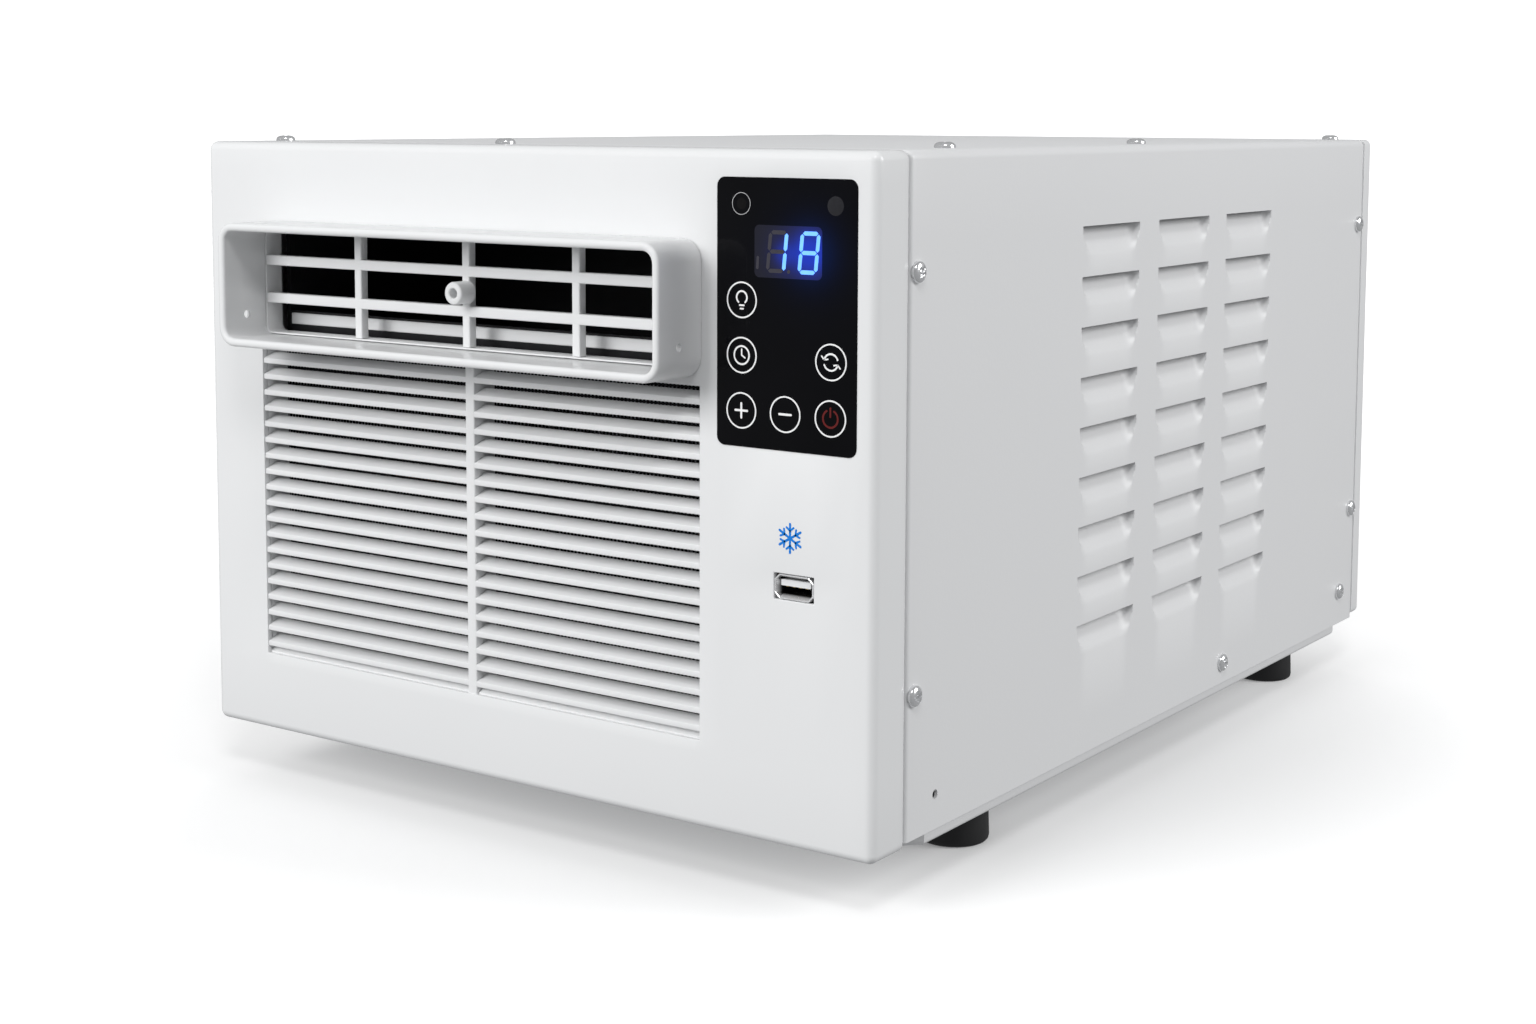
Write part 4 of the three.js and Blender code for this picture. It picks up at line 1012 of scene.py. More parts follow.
ir_low, ir_high = span("ir_lens")
ir_centre = middle_of("ir_lens")[[0, 2]]
ir_radius = (ir_high[0] - ir_low[0]) / 2
black_lens = Finish("black_lens", {"Specular IOR Level": 0.3})
black_lens.mottle((0.001, 0.001, 0.001), (0.004, 0.003, 0.004), 3)
black_lens.roughen(0.03, 0.05, 2, 3)
dome = np.linspace(0, pi / 2, 7)
lens_back = ir_high[1] - 0.2
lens_profile = [(ir_radius * sin(a), plate_front + 0.45 - 0.55 * cos(a)) for a in dome]
lens_profile += [(ir_radius, lens_back), (0, lens_back)]
lens = turned(lens_profile, (ir_centre[0], 0, ir_centre[1]), 1)
add_piece("infrared_lens", lens, black_lens, replaces=["ir_lens"])
grey_ink = ink("grey_ink", 0.35, (0.42, 0.42, 0.43), (0.55, 0.55, 0.56), 1.2)
ir_ring = circle(ir_centre, ir_radius + 0.15, 0.2, ink_front - 0.1)
add_piece("infrared_ring", ir_ring, grey_ink)
smoky_disc = Finish("smoky_disc", {"Specular IOR Level": 0.4})
smoky_disc.mottle((0.012, 0.012, 0.015), (0.022, 0.022, 0.026), 3)
smoky_disc.roughen(0.12, 0.1, 2, 3)
disc_profile = [
    (0, plate_front + 0.2), (SENSOR_RADIUS, plate_front + 0.2), (SENSOR_RADIUS, plate_front - 0.03),
    (SENSOR_RADIUS - 0.25, plate_front - 0.1), (SENSOR_RADIUS / 2, plate_front - 0.16),
    (0, plate_front - 0.18),
]
add_piece("light_sensor_disc", turned(disc_profile, (SENSOR[0], 0, SENSOR[1]), 1), smoky_disc)


# ---- Display ----
# A smoked window with two half-inch digits, whose bars lie on its face as thin layers. The lit ones
# shine blue and light the window round them, and the unlit ones show as faint grey ghosts.
WINDOW_CORNER = 1.8
DIGIT_WIDTH = 7.4
DIGIT_HEIGHT = 13.4
DIGIT_BOTTOM = 204.4
DIGIT_SLANT = 0.1
DIGIT_LEFT = (108.9, 120.9)  # lower left corner of each digit
BAR_WIDTH = 1.3
BAR_GAP = 0.22
BAR_LETTERS = "abcdefg"  # top, upper right, lower right, bottom, lower left, upper left, middle
LIT = ("bc", "abcdefg")
LIT_MIDDLES = ((125.6, 211.0), (116.2, 210.4))  # of the second digit's light, and of the first one's
HALF_DIGIT_BAR = ((105.7, 205.8), (105.9, 209.0))  # unlit, at the window's left side
POINT = ((117.6, 204.9), (117.7, 205.0))  # unlit, after the first digit

smoked = Finish("smoked_window", {"Specular IOR Level": 0.3, "Emission Strength": 1.0})
smoked.mottle((0.011, 0.011, 0.016), (0.015, 0.015, 0.021), 6)
smoked.roughen(0.07, 0.08, 5, 3)
digit_light = glow(smoked, LIT_MIDDLES[0], 6.2, 0.8) + glow(smoked, LIT_MIDDLES[1], 3.6, 0.35)
smoked.feed({"Emission Color": smoked.blend(digit_light, (0.0, 0.0, 0.0), (0.0, 0.035, 0.62))})
window_outline = plate_outline(window("display_lens", 0), WINDOW_CORNER)
window_front = plate_front - 0.04
window_slab = slab(window_outline, [(0, plate_low[1]), (0, window_front)])
add_piece("display_window", window_slab, smoked, replaces=["display_lens"])


def digit_bars(left, letters, front):
    """Pointed bars along the sides of a tall figure eight, whose upper parts lean to the right."""
    half, rise = BAR_WIDTH / 2, (DIGIT_HEIGHT - BAR_WIDTH) / 2
    near, far = half, DIGIT_WIDTH - half
    nodes = {
        "a": ((near, 2), (far, 2)), "b": ((far, 1), (far, 2)), "c": ((far, 0), (far, 1)),
        "d": ((near, 0), (far, 0)), "e": ((near, 0), (near, 1)), "f": ((near, 1), (near, 2)),
        "g": ((near, 1), (far, 1)),
    }
    bars = []
    for letter in letters:
        ends = np.array([(x, half + rise * level) for x, level in nodes[letter]])
        along = (ends[1] - ends[0]) / np.hypot(*(ends[1] - ends[0]))
        ends += np.array([along, -along]) * (half + BAR_GAP)
        points, faces = stroke(ends, BAR_WIDTH, front, tip="point")
        points = points + [left, 0, DIGIT_BOTTOM]
        points[:, 0] += DIGIT_SLANT * (points[:, 2] - DIGIT_BOTTOM)
        bars.append((points, faces))
    return bars


bar_layer = window_front - INK
lit_bars = [
    lit for left, letters in zip(DIGIT_LEFT, LIT) for lit in digit_bars(left, letters, bar_layer)
]
unlit = [letter for letter in BAR_LETTERS if letter not in LIT[0]]
dark_bars = digit_bars(DIGIT_LEFT[0], unlit, bar_layer)
dark_bars += [stroke(HALF_DIGIT_BAR, 1.0, bar_layer), stroke(POINT, 1.1, bar_layer)]
lit_blue = Finish("lit_blue_bars", {"Roughness": 0.4, "Emission Strength": 1.7})
lit_blue.feed({"Base Color": (0.02, 0.1, 0.3)})
lit_blue.feed({"Emission Color": lit_blue.blend(lit_blue.noise(2.5), (0.11, 0.3, 1.0), (0.17, 0.4, 1.0))})
add_piece("display_lit_bars", joined(*lit_bars), lit_blue)
ghost = Finish("unlit_bars", {"Roughness": 0.4})
ghost.mottle((0.036, 0.034, 0.046), (0.046, 0.044, 0.058), 2.5)
add_piece("display_unlit_bars", joined(*dark_bars), ghost)


# ---- Cooling sign ----
# A small blue snowflake printed on the front panel above the USB socket.
SNOW = (118.3, 120.7)
SNOW_RADIUS = 4.6
SNOW_LINE = 0.8
SNOW_TWIG = 1.7
SNOW_TWIG_ROOT = 0.52  # share of the radius at which the twigs begin
SNOW_STEP = 0.004  # each arm lies this much above the one before


def snowflake(centre, radius, front):
    """Three lines through a centre, with a pair of twigs near each of their six ends."""
    strokes = []
    for arm in range(6):
        way = arm * tau / 6 + pi / 2
        out = np.array([cos(way), sin(way)])
        level = front - SNOW_STEP * arm
        strokes.append(stroke([centre + 0.2 * out, centre + radius * out], SNOW_LINE, level))
        root = centre + SNOW_TWIG_ROOT * radius * out
        for bend in (-tau / 7, tau / 7):
            twig = root + SNOW_TWIG * np.array([cos(way + bend), sin(way + bend)])
            strokes.append(stroke([root, twig], SNOW_LINE * 0.85, level - SNOW_STEP / 2))
    return joined(*strokes)


cooling_sign = snowflake(np.array(SNOW), SNOW_RADIUS, panel_low[1] - INK)
add_piece("cooling_sign", cooling_sign, blue_ink)


# ---- USB socket ----
# A charging receptacle: a bright folded steel sleeve with flared lips, a white tongue in its upper half
# and four gilded springs under the tongue.
USB_SHEET = 0.4
USB_CHAMFER = 1.7
USB_FLAP_REACH = 0.85  # how far a flap leans into the mouth
USB_FLAP_DEPTH = 2.4
USB_FLAP_SHEET = 0.3
USB_SHADE_DEPTH = 4.5  # how far in it is until the painted shade makes the sleeve fully dark

nickel = Finish("bright_nickel", {"Metallic": 0.8})
nickel.mottle((0.76, 0.77, 0.78), (0.86, 0.86, 0.87), 4)
nickel.roughen(0.14, 0.14, 1.5, 4)
nickel.grain(0.006, 0.8, 3, (1, 1, 6))

usb_low, usb_high = span("usb_shell")
usb_front, usb_back = panel_low[1] + 0.1, usb_high[1]
socket_steel = Finish("socket_steel", {"Metallic": 0.55})
# The sleeve's colour goes from bright at the mouth to near black inside: painted shade for the socket's dark
# depth, with a little noise on top.
along_y = socket_steel.node("ShaderNodeSeparateXYZ", {}, {0: socket_steel.place}, output=1)
sunk = (along_y - usb_front * MM) / (USB_SHADE_DEPTH * MM)
mottle_and_painted_shade = socket_steel.noise(1.2, 2) * 0.1 + socket_steel.ramp(sunk, (0, 0), (0.3, 0.15), (0.62, 1))
socket_steel.feed({"Base Color": socket_steel.blend(mottle_and_painted_shade, (0.97, 0.97, 0.98), (0.03, 0.028, 0.026))})
socket_steel.roughen(0.18, 0.14, 1.5, 4)


def sleeve_outline(inset):
    """A rectangle with cut corners, moved in by the inset."""
    x0, x1, z0, z1 = usb_low[0] + inset, usb_high[0] - inset, usb_low[2] + inset, usb_high[2] - inset
    cut = USB_CHAMFER
    return np.array([
        (x0 + cut, z0), (x1 - cut, z0), (x1, z0 + cut), (x1, z1 - cut),
        (x1 - cut, z1), (x0 + cut, z1), (x0, z1 - cut), (x0, z0 + cut),
    ])


def usb_flap(way_x, way_z):
    """A strip that leans in from one side of the mouth, from just behind the rim, and curls at its end."""
    across = 0 if way_x else 2
    middle, half = (usb_low[across] + usb_high[across]) / 2, (usb_high[across] - usb_low[across]) / 2
    lean = half - USB_SHEET - np.array([0, 0.35, 0.75, 1, 0.95]) * USB_FLAP_REACH
    ahead = usb_front + 0.15 + np.array([0, 0.25, 0.65, 1.0, 1.15]) * USB_FLAP_DEPTH
    inner, outer = np.column_stack([ahead, lean]), np.column_stack([ahead, lean + USB_FLAP_SHEET])
    sheet = np.concatenate([inner, outer[::-1]])
    sheet[:, 1] = middle + (way_x or way_z) * sheet[:, 1]
    along = 2 if way_x else 0
    start, end = usb_low[along] + USB_CHAMFER + 0.1, usb_high[along] - USB_CHAMFER - 0.1
    return prism(sheet[:, ::-1] if way_x else sheet, start, end, along)


sleeve_section = [
    (0, usb_back), (0, usb_front + 0.15), (0.1, usb_front),
    (USB_SHEET - 0.1, usb_front), (USB_SHEET, usb_front + 0.15), (USB_SHEET, usb_back - 0.5),
]
sleeve = slab(sleeve_outline, sleeve_section)
flaps = [usb_flap(*ways) for ways in ((0, -1), (0, 1), (-1, 0), (1, 0))]
add_piece("usb_sleeve", joined(sleeve, *flaps), socket_steel, replaces=["usb_shell"])
tongue_low, tongue_high = span("usb_tongue")
tongue = bar(window("usb_tongue", 0), 0.25, (tongue_low[1], tongue_high[1]), 1)
add_piece("usb_tongue_bar", tongue, white_abs, replaces=["usb_tongue"])
gilt = Finish("gilt_springs", {"Metallic": 1.0})
gilt.mottle((0.85, 0.6, 0.2), (0.95, 0.72, 0.3), 1)
gilt.roughen(0.15, 0.15, 0.8, 3)
spring_ends = (tongue_low[2] - 0.35, tongue_low[2] + 0.1)
springs = [
    bar((x - 0.5, x + 0.5, tongue_low[1] + 0.6, tongue_high[1] - 1), 0.2, spring_ends, 2)
    for x in np.linspace(tongue_low[0] + 1.9, tongue_high[0] - 1.9, 4)
]
add_piece("usb_springs", joined(*springs), gilt)


# ---- Screws ----
# Bright pan-head screws with a cross recess: six in each side of the cover, five in its top and eight
# in the rear panel.
HEAD_RADIUS = 3.6
HEAD_HEIGHT = 2.1
RECESS_HALF = 0.55
RECESS_REACH = 2.1
RECESS_DEPTH = 1.2
TOP_SCREWS = ((-136, -175), (-20.5, -178.5), (138, -142), (138, 1), (138, 202))
REAR_SCREWS = ((144, 35), (144, 120), (144, 232), (50, 236))  # on the right half; the left mirrors it


def screw_head(turn):
    """Height over a disc: a flat dome with a round rim, less a cross with sloping sides.
    Gives across, across and height for a grid of angles and radii."""
    angle = np.linspace(0, tau, 49)[:-1, None] + turn
    share = np.array([0, 0.1, 0.18, 0.26, 0.34, 0.42, 0.5, 0.56, 0.62, 0.72, 0.82, 0.9, 0.96, 1, 1])
    a, b = HEAD_RADIUS * share * np.cos(angle), HEAD_RADIUS * share * np.sin(angle)
    dome_height = HEAD_HEIGHT * (0.25 + 0.75 * np.sqrt(1 - share**3.2)) + 0 * angle
    dome_height[:, -1] = -0.1
    u, v = HEAD_RADIUS * share * np.cos(angle - turn), HEAD_RADIUS * share * np.sin(angle - turn)
    thin, long = np.minimum(abs(u), abs(v)), np.maximum(abs(u), abs(v))
    recess = np.clip((RECESS_HALF + 0.15 - thin) / 0.3, 0, 1) * np.clip((RECESS_REACH - long) / 0.4, 0, 1)
    return a, b, dome_height - RECESS_DEPTH * recess


def screw(place, axis, way, turn):
    """A screw head at a place, whose height runs along an axis, either way."""
    a, b, height = screw_head(turn)
    head = np.roll(np.stack([way * height, a, b], -1), axis, axis=-1)
    return grid(head + np.array(place, float), close=(True, False))


for side, way in (("left", -1), ("right", 1)):
    for number in range(1, 7):
        node = f"cover_screw_{side}_{number}"
        centre = middle_of(node)
        head = screw((way * cover_high[0], centre[1], centre[2]), 0, way, number * 0.9)
        add_piece(f"{node}_head", head, nickel, replaces=[node], degrees=40)
top_heads = [screw((x, y, cover_high[2]), 2, 1, 0.7 * x) for x, y in TOP_SCREWS]
add_piece("top_screw_heads", joined(*top_heads), nickel, degrees=40)
rear_places = [(side * x, z) for side in (-1, 1) for x, z in REAR_SCREWS]
rear_heads = [screw((x, rear_high[1], z), 1, 1, 0.3 * x + z) for x, z in rear_places]
add_piece("rear_screw_heads", joined(*rear_heads), nickel, degrees=40)


# ---- Feet ----
# Four round feet of black rubber, an inch across, each with a hollow for its screw underneath.
black_rubber = Finish("black_rubber", {"Specular IOR Level": 0.35})
black_rubber.mottle((0.009, 0.009, 0.01), (0.02, 0.02, 0.021), 8)
black_rubber.roughen(0.55, 0.2, 2, 4)
black_rubber.grain(0.04, 0.5, 3)
for name in ("foot_front_left", "foot_front_right", "foot_rear_left", "foot_rear_right"):
    low, high = span(name)
    radius, top = (high[0] - low[0]) / 2, high[2]
    foot_profile = [
        (0, 5), (4, 5), (4.3, 0.3), (4.6, 0), (radius - 1.8, 0), (radius - 0.9, 0.25),
        (radius - 0.25, 0.9), (radius, 1.9), (radius - 0.5, top - 1), (radius - 0.8, top), (0, top),
    ]
    foot = turned(foot_profile, middle_of(name) * [1, 1, 0], 2, 48)
    add_piece(f"{name}_rubber", foot, black_rubber, replaces=[name])


# ---- Blower scroll and outlet duct ----
# One black moulding: a scroll round the blower wheel that turns up into the duct behind the outlet.
# A white strip clipped to the duct's floor keeps drips in.
LIP = (174.9, 179.2)  # the strip's lower and upper edge above the floor
LIP_THICK = 2.7

black_moulding = Finish("black_moulding", {"Specular IOR Level": 0.35})
black_moulding.mottle((0.008, 0.008, 0.009), (0.014, 0.014, 0.016), 14)
black_moulding.roughen(0.4, 0.15, 3, 3)
black_moulding.grain(0.03, 0.6, 3)


def dress(finish, *nodes):
    """Gives CAD nodes a finish, in every material slot that they have."""
    for node in nodes:
        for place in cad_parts[node].material_slots:
            place.material = finish.material


dress(black_moulding, "blower_scroll")
scroll_low, scroll_high = span("blower_scroll")
lip_front, lip_ends = scroll_low[1] - 0.4, (scroll_low[0] + 2.7, scroll_high[0] - 1.6)
duct_lip = bar((lip_front, lip_front + LIP_THICK, *LIP), 0.5, lip_ends, 0)
add_piece("duct_lip", duct_lip, white_abs)


# ---- Air filter ----
# A card of threads in a thin moulded frame with two ribs, card and frame coloured near black as painted
# shade, so that the grille's gaps in front of it read dark.
# It slides out through the front panel's left edge, where its end bar is the grip.
THREAD_STEP = 1.6
THREAD = 0.5
FILTER_BAR = 4.0
FILTER_RIBS = (-71.0, 7.5)

filter_painted_shade = Finish("filter_painted_shade", {"Specular IOR Level": 0.3})
# The near-black colour of the card and its frame is painted shade for the gaps between the grille's slats.
filter_painted_shade.mottle((0.006, 0.006, 0.007), (0.016, 0.016, 0.017), 9, 3)
filter_painted_shade.roughen(0.5, 0.15, 2, 3)
filter_painted_shade.grain(0.02, 0.4)


def boxes(low, high):
    """Many plain boxes at once, from rows of lowest and of highest corners."""
    low, high = np.broadcast_arrays(np.atleast_2d(low), np.atleast_2d(high))
    corner = np.array([(x, y, z) for z in (0, 1) for x, y in ((0, 0), (1, 0), (1, 1), (0, 1))])
    side = np.array([(0, 3, 2, 1), (4, 5, 6, 7), (0, 1, 5, 4), (1, 2, 6, 5), (2, 3, 7, 6), (3, 0, 4, 7)])
    points = np.where(corner[None] == 1, high[:, None], low[:, None])
    faces = side[None] + 8 * np.arange(len(low))[:, None, None]
    return points.reshape(-1, 3), [faces.reshape(-1, 4)]


def threads(low, high, step, thick):
    """Upright threads across a card, and level ones that lie against their backs."""
    middle = (low[1] + high[1]) / 2
    x, z = np.arange(low[0], high[0], step), np.arange(low[2], high[2], step)
    upright = np.column_stack([x, np.full(x.size, middle - thick), np.full(x.size, low[2])])
    level = np.column_stack([np.full(z.size, low[0]), np.full(z.size, middle), z])
    return joined(
        boxes(upright, np.column_stack([x + thick, np.full(x.size, middle), np.full(x.size, high[2])])),
        boxes(level, np.column_stack([np.full(z.size, high[0]), np.full(z.size, middle + thick), z + thick])),
    )


card = threads(filter_low + FILTER_BAR / 2, filter_high - FILTER_BAR / 2, THREAD_STEP, THREAD)
filter_frame = frame_collar(window("air_filter", 0), FILTER_BAR, filter_low[1], filter_high[1], 0.5, 2.0)
rib_ends = (filter_low[2] + 2, filter_high[2] - 2)
ribs = [
    bar((x - 1, x + 1, filter_low[1] + 0.3, filter_high[1] - 0.3), 0.3, rib_ends, 2)
    for x in FILTER_RIBS
]
add_piece(
    "air_filter_card", joined(filter_frame, card, *ribs), filter_painted_shade,
    body="filter", replaces=["air_filter"],
)


# ---- Coils ----
# The evaporator behind the filter and the condenser behind the rear panel: thin aluminium fins pressed
# on copper tubes, whose return bends stand out of a galvanised plate at each end.
FIN_STEP = 2.0
FIN_SHEET = 0.25
END_PLATE = 1.2
TUBE_RADIUS = 3.5
RETURN_RADIUS = 9.0
RETURN_REACH = 12.5  # how far a bend stands out of its plate

fin_metal = Finish("fin_aluminium", {"Metallic": 0.9})
fin_metal.mottle((0.5, 0.52, 0.54), (0.66, 0.68, 0.7), 12, 3, (0.2, 1, 0.3))
fin_metal.roughen(0.32, 0.2, 3, 4)
fin_metal.grain(0.08, 2.5, 2)
galvanised = Finish("galvanised_steel", {"Metallic": 0.85})
galvanised.mottle((0.42, 0.44, 0.45), (0.62, 0.64, 0.65), 7, 5)
galvanised.roughen(0.28, 0.25, 5, 5)
galvanised.grain(0.015, 1.2, 3)
bare_copper = Finish("bare_copper", {"Metallic": 1.0})
bare_copper.mottle((0.52, 0.2, 0.1), (0.78, 0.36, 0.2), 11, 5)
bare_copper.roughen(0.2, 0.25, 4, 4)
bare_copper.grain(0.02, 1.5, 3)


def return_bend(face, side, y, z):
    """A half circle of tube: rings stand round each point of the arc, square to it."""
    turn = np.concatenate([[-pi / 2], np.linspace(-pi / 2, pi / 2, 11), [pi / 2]])[:, None]
    leg = np.concatenate([[-END_PLATE - 1], np.zeros(11), [-END_PLATE - 1]])[:, None]
    ring = np.linspace(0, tau, 13)[:-1][None, :]
    reach = RETURN_RADIUS + TUBE_RADIUS * np.cos(ring)
    x = face + side * (leg + reach * np.cos(turn))
    tube_y = y + TUBE_RADIUS * np.sin(ring) + 0 * turn
    return grid(np.stack([x, tube_y, z + reach * np.sin(turn)], -1), close=(False, True))


def coil(node, bends):
    """Fins, end plates, tubes and bends inside a node's box; the bends stand out of both of its ends."""
    low, high = span(node)
    left, right = low[0] + RETURN_REACH, high[0] - RETURN_REACH
    x = np.arange(left + END_PLATE + 0.6, right - END_PLATE - 0.6, FIN_STEP)[:, None]
    fin_low = np.hstack([x, x * 0 + low[1] + 0.2, x * 0 + low[2] + 0.5])
    fin_high = np.hstack([x + FIN_SHEET, x * 0 + high[1] - 0.2, x * 0 + high[2] - 0.5])
    fins = boxes(fin_low, fin_high)
    plates_low = [(left, *low[1:]), (right - END_PLATE, *low[1:])]
    plates_high = [(left + END_PLATE, *high[1:]), (right, *high[1:])]
    plates = boxes(plates_low, plates_high)
    middle = (low[1] + high[1]) / 2
    heights = low[2] + (high[2] - low[2]) * (np.arange(bends) + 0.5) / bends
    bent = [return_bend(face, side, middle, z) for face, side in ((left, -1), (right, 1)) for z in heights]
    straight = [
        turned([(TUBE_RADIUS, left), (TUBE_RADIUS, right)], (0, middle, z + way * RETURN_RADIUS), 0, 12)
        for z in heights for way in (-1, 1)
    ]
    add_piece(f"{node}_fins", fins, fin_metal, replaces=[node])
    add_piece(f"{node}_end_plates", plates, galvanised)
    add_piece(f"{node}_tubes", joined(*bent, *straight), bare_copper)


coil("evaporator", 3)
coil("condenser", 5)


# ---- Drip tray, drain and mains inlet ----
# A grey moulded tray under the evaporator, a grey spout through the base pan with a rubber cap on it,
# and a black three-pin inlet that snaps into the rear panel.
INLET_PINS = ((-7, -1), (7, -1), (0, 3))  # across and up from the inlet's middle
INLET_FLOOR = 15.0  # from the inlet's mouth to its floor
PIN_HALF = (1.05, 2.05)  # half of a pin's width and of its height
PIN_LENGTH = 9.1
SPOUT_END = 6.0  # height of the spout's open end
SPOUT_FLANGE = 3.0
SPOUT_WALL = 1.6

grey_moulding = Finish("grey_moulding", {"Specular IOR Level": 0.4})
grey_moulding.mottle((0.1, 0.11, 0.12), (0.14, 0.15, 0.16), 20)
grey_moulding.roughen(0.42, 0.15, 3, 3)
grey_moulding.grain(0.03, 0.7, 3)
dress(grey_moulding, "drip_tray", "fan_shroud")
spout_low, spout_high = span("drain_spout")
spout_centre, spout_top = middle_of("drain_spout") * [1, 1, 0], spout_high[2]
flange_radius = (spout_high[0] - spout_low[0]) / 2
spout_radius, spout_bore = flange_radius - SPOUT_FLANGE, flange_radius - SPOUT_FLANGE - SPOUT_WALL
spout_profile = [
    (spout_bore, SPOUT_END), (spout_radius - 0.4, SPOUT_END), (spout_radius, SPOUT_END + 0.5),
    (spout_radius, spout_top - 2), (spout_radius + 0.4, spout_top - 1.5),
    (flange_radius, spout_top - 1.5), (flange_radius, spout_top), (spout_bore, spout_top),
    (spout_bore, SPOUT_END),
]
spout = turned(spout_profile, spout_centre, 2)
add_piece("drain_spout_tube", spout, grey_moulding, replaces=["drain_spout"])
plug_low, plug_high = span("drain_plug")
plug_foot, plug_top = plug_low[2], plug_high[2]
plug_radius, plug_bore = (plug_high[0] - plug_low[0]) / 2, spout_radius + 0.15
plug_profile = [
    (0, plug_foot), (plug_radius - 1, plug_foot), (plug_radius - 0.3, plug_foot + 0.3),
    (plug_radius, plug_foot + 1), (plug_radius, plug_top - 0.5), (plug_radius - 0.5, plug_top),
    (plug_bore, plug_top), (plug_bore, SPOUT_END - 0.2), (0, SPOUT_END - 0.2),
]
plug = turned(plug_profile, spout_centre, 2)
add_piece("drain_plug_cap", plug, black_rubber, replaces=["drain_plug"])
dress(black_moulding, "mains_inlet")
inlet_centre = middle_of("mains_inlet")
inlet_floor = span("mains_inlet")[1][1] - INLET_FLOOR
inlet_pins = []
for across, up in INLET_PINS:
    pin_x, pin_z = inlet_centre[0] + across, inlet_centre[2] + up
    pin_sides = (pin_x - PIN_HALF[0], pin_x + PIN_HALF[0], pin_z - PIN_HALF[1], pin_z + PIN_HALF[1])
    inlet_pins.append(bar(pin_sides, 0.4, (inlet_floor, inlet_floor + PIN_LENGTH), 1))
add_piece("inlet_pins", joined(*inlet_pins), nickel, bevel=0.2)


# ---- Fans, shaft and motor ----
# One steel shaft carries a black blower wheel in front and a five-bladed fan behind. It turns in a
# galvanised motor, which is clamped on a folded cradle.
WHEEL_BLADES = 30
WHEEL_BLADE = 9.0  # from a blade's inner edge to the wheel's rim
WHEEL_LEAN = 0.16  # how far a blade's angle leads at the rim
FAN_BLADES = 5
FAN_RADIUS = 82.0
FAN_HUB = 21.0
FAN_ROOT = 1.5  # how far a blade's root lies inside the hub
FAN_CHORD = 44.0
FAN_BLADE_SHEET = 1.6
WHEEL_BLADE_SHEET = 0.9

shaft_low, shaft_high = span("rotor_shaft")
wheel_low, wheel_high = span("blower_wheel")
fan_low, fan_high = span("condenser_fan")
axis_centre = middle_of("rotor_shaft") * [1, 0, 1]
wheel_radius = (wheel_high[0] - wheel_low[0]) / 2
shaft_radius = (shaft_high[0] - shaft_low[0]) / 2


def about_axis(radius, angle, y):
    """Points on the rotor from a radius and an angle about its axis, and y."""
    x, z = axis_centre[0] + radius * np.cos(angle), axis_centre[2] + radius * np.sin(angle)
    return np.stack([x, y + 0 * radius, z], -1)


def wheel_blade(number):
    """A narrow trough along y: its angle leans forward with the square of the way out to the rim."""
    share, along = np.linspace(0, 1, 5)[:, None], np.array([wheel_low[1] + 1, wheel_high[1] - 1])[None, :]
    radius = wheel_radius - 0.6 - WHEEL_BLADE * (1 - share) + 0 * along
    angle = tau * number / WHEEL_BLADES + WHEEL_LEAN * share**2 + 0 * along
    return grid(about_axis(radius, angle, along + 0 * share))


def fan_blade(number):
    """A twisted sheet: across the chord it climbs by the tangent of a pitch that falls towards the tip."""
    out, chord = np.linspace(0, 1, 9)[:, None], np.linspace(-0.5, 0.5, 7)[None, :]
    root = FAN_HUB - FAN_ROOT
    radius = root + (FAN_RADIUS - root) * out * (1 - 0.25 * chord**4)
    width = FAN_CHORD * (0.7 + 0.45 * out)
    pitch = np.radians(42 - 20 * out)
    middle = (fan_low[1] + fan_high[1]) / 2
    angle = tau * number / FAN_BLADES + width * chord * np.cos(pitch) / (radius + 8)
    y = middle + 0.8 * width * chord * np.sin(pitch) + 2.5 * (1 - 4 * chord**2)
    return grid(about_axis(radius, angle, y))


wheel_disc = turned([
    (shaft_radius, wheel_high[1] - 18), (10, wheel_high[1] - 18), (10, wheel_high[1] - 2),
    (wheel_radius - 0.3, wheel_high[1] - 2), (wheel_radius, wheel_high[1] - 1.7),
    (wheel_radius, wheel_high[1]), (shaft_radius, wheel_high[1]),
], axis_centre, 1, 64)
ring_bore, ring_front, ring_back = wheel_radius - WHEEL_BLADE, wheel_low[1], wheel_low[1] + 3
wheel_ring = turned([
    (ring_bore, ring_front), (wheel_radius, ring_front), (wheel_radius, ring_back),
    (ring_bore, ring_back), (ring_bore, ring_front),
], axis_centre, 1, 64)
wheel_blades = joined(*[wheel_blade(number) for number in range(WHEEL_BLADES)])
fan_blades = joined(*[fan_blade(number) for number in range(FAN_BLADES)])
fan_hub = turned([
    (shaft_radius, fan_low[1]), (FAN_HUB - 2, fan_low[1]), (FAN_HUB, fan_low[1] + 2),
    (FAN_HUB, fan_high[1] - 0.6), (FAN_HUB - 0.6, fan_high[1]), (shaft_radius, fan_high[1]),
], axis_centre, 1, 48)
shaft = turned([
    (0, shaft_low[1]), (shaft_radius - 0.5, shaft_low[1]), (shaft_radius, shaft_low[1] + 0.5),
    (shaft_radius, shaft_high[1] - 0.5), (shaft_radius - 0.5, shaft_high[1]), (0, shaft_high[1]),
], axis_centre, 1)
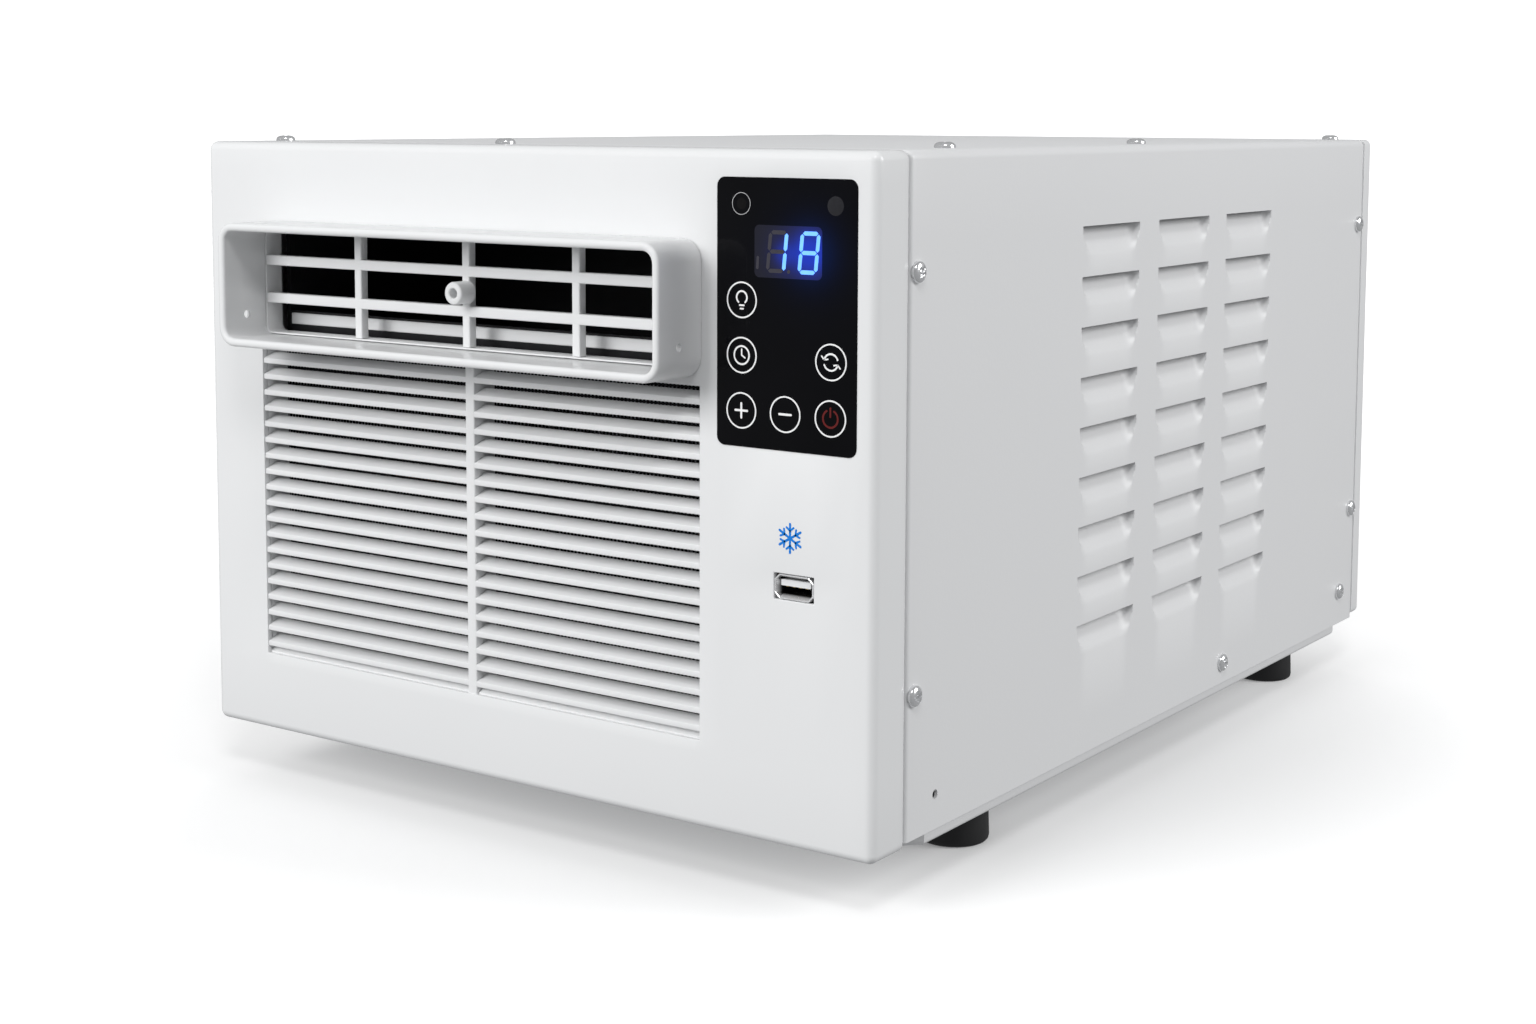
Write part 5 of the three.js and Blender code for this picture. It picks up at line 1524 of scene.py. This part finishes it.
for name, surface, replaced, wall in (
    ("blower_wheel_blades", wheel_blades, [], WHEEL_BLADE_SHEET),
    ("blower_wheel_rings", joined(wheel_disc, wheel_ring), ["blower_wheel"], 0),
    ("condenser_fan_blades", fan_blades, [], FAN_BLADE_SHEET),
    ("condenser_fan_hub", fan_hub, ["condenser_fan"], 0),
):
    add_piece(name, surface, black_moulding, body="rotor", replaces=replaced, wall=wall)
add_piece("rotor_shaft_rod", shaft, nickel, body="rotor", replaces=["rotor_shaft"])
motor_low, motor_high = span("fan_motor")
motor_radius, motor_bore = (motor_high[0] - motor_low[0]) / 2, shaft_radius + 0.4
half_motor = [
    (motor_bore, 0), (11.5, 0), (12, 0.5), (12, 5.5), (31, 6),
    (34, 8.5), (34, 12.6), (motor_radius - 1, 13), (motor_radius, 14),
]
front_half = [(radius, motor_low[1] + y) for radius, y in half_motor]
rear_half = [(radius, motor_high[1] - y) for radius, y in half_motor[::-1]]
motor = turned(front_half + rear_half, axis_centre, 1, 64)
add_piece("fan_motor_can", motor, galvanised, replaces=["fan_motor"])
dress(galvanised, "motor_cradle", "bulkhead")


# ---- Compressor and refrigerant lines ----
# A black enamelled compressor on rubber grommets, its accumulator and the copper lines that join it
# to both coils.
black_enamel = Finish("black_enamel", {"Specular IOR Level": 0.5})
black_enamel.mottle((0.006, 0.006, 0.007), (0.012, 0.012, 0.013), 16, 3)
black_enamel.roughen(0.2, 0.15, 4, 4)
black_enamel.grain(0.05, 2.5, 2)
dress(black_enamel, "compressor", "accumulator")
dress(black_rubber, *[f"compressor_grommet_{number}" for number in (1, 2, 3)])
dress(bare_copper, "discharge_pipe", "liquid_pipe", "capillary_tube", "suction_pipe", "filter_drier")
dress(bare_copper, "temperature_sensor")


# ---- Electrics ----
# A power board and a run capacitor beside the duct, the control board behind the keypad with its
# display module, and the infrared receiver behind its window.
solder_mask = Finish("green_solder_mask", {"Specular IOR Level": 0.5})
solder_mask.mottle((0.01, 0.11, 0.05), (0.02, 0.17, 0.08), 6, 4)
solder_mask.roughen(0.22, 0.15, 2, 3)
solder_mask.grain(0.02, 1.0, 3)
dress(solder_mask, "power_board", "control_board")
dress(fin_metal, "run_capacitor")
dress(black_moulding, "display_module", "ir_receiver")
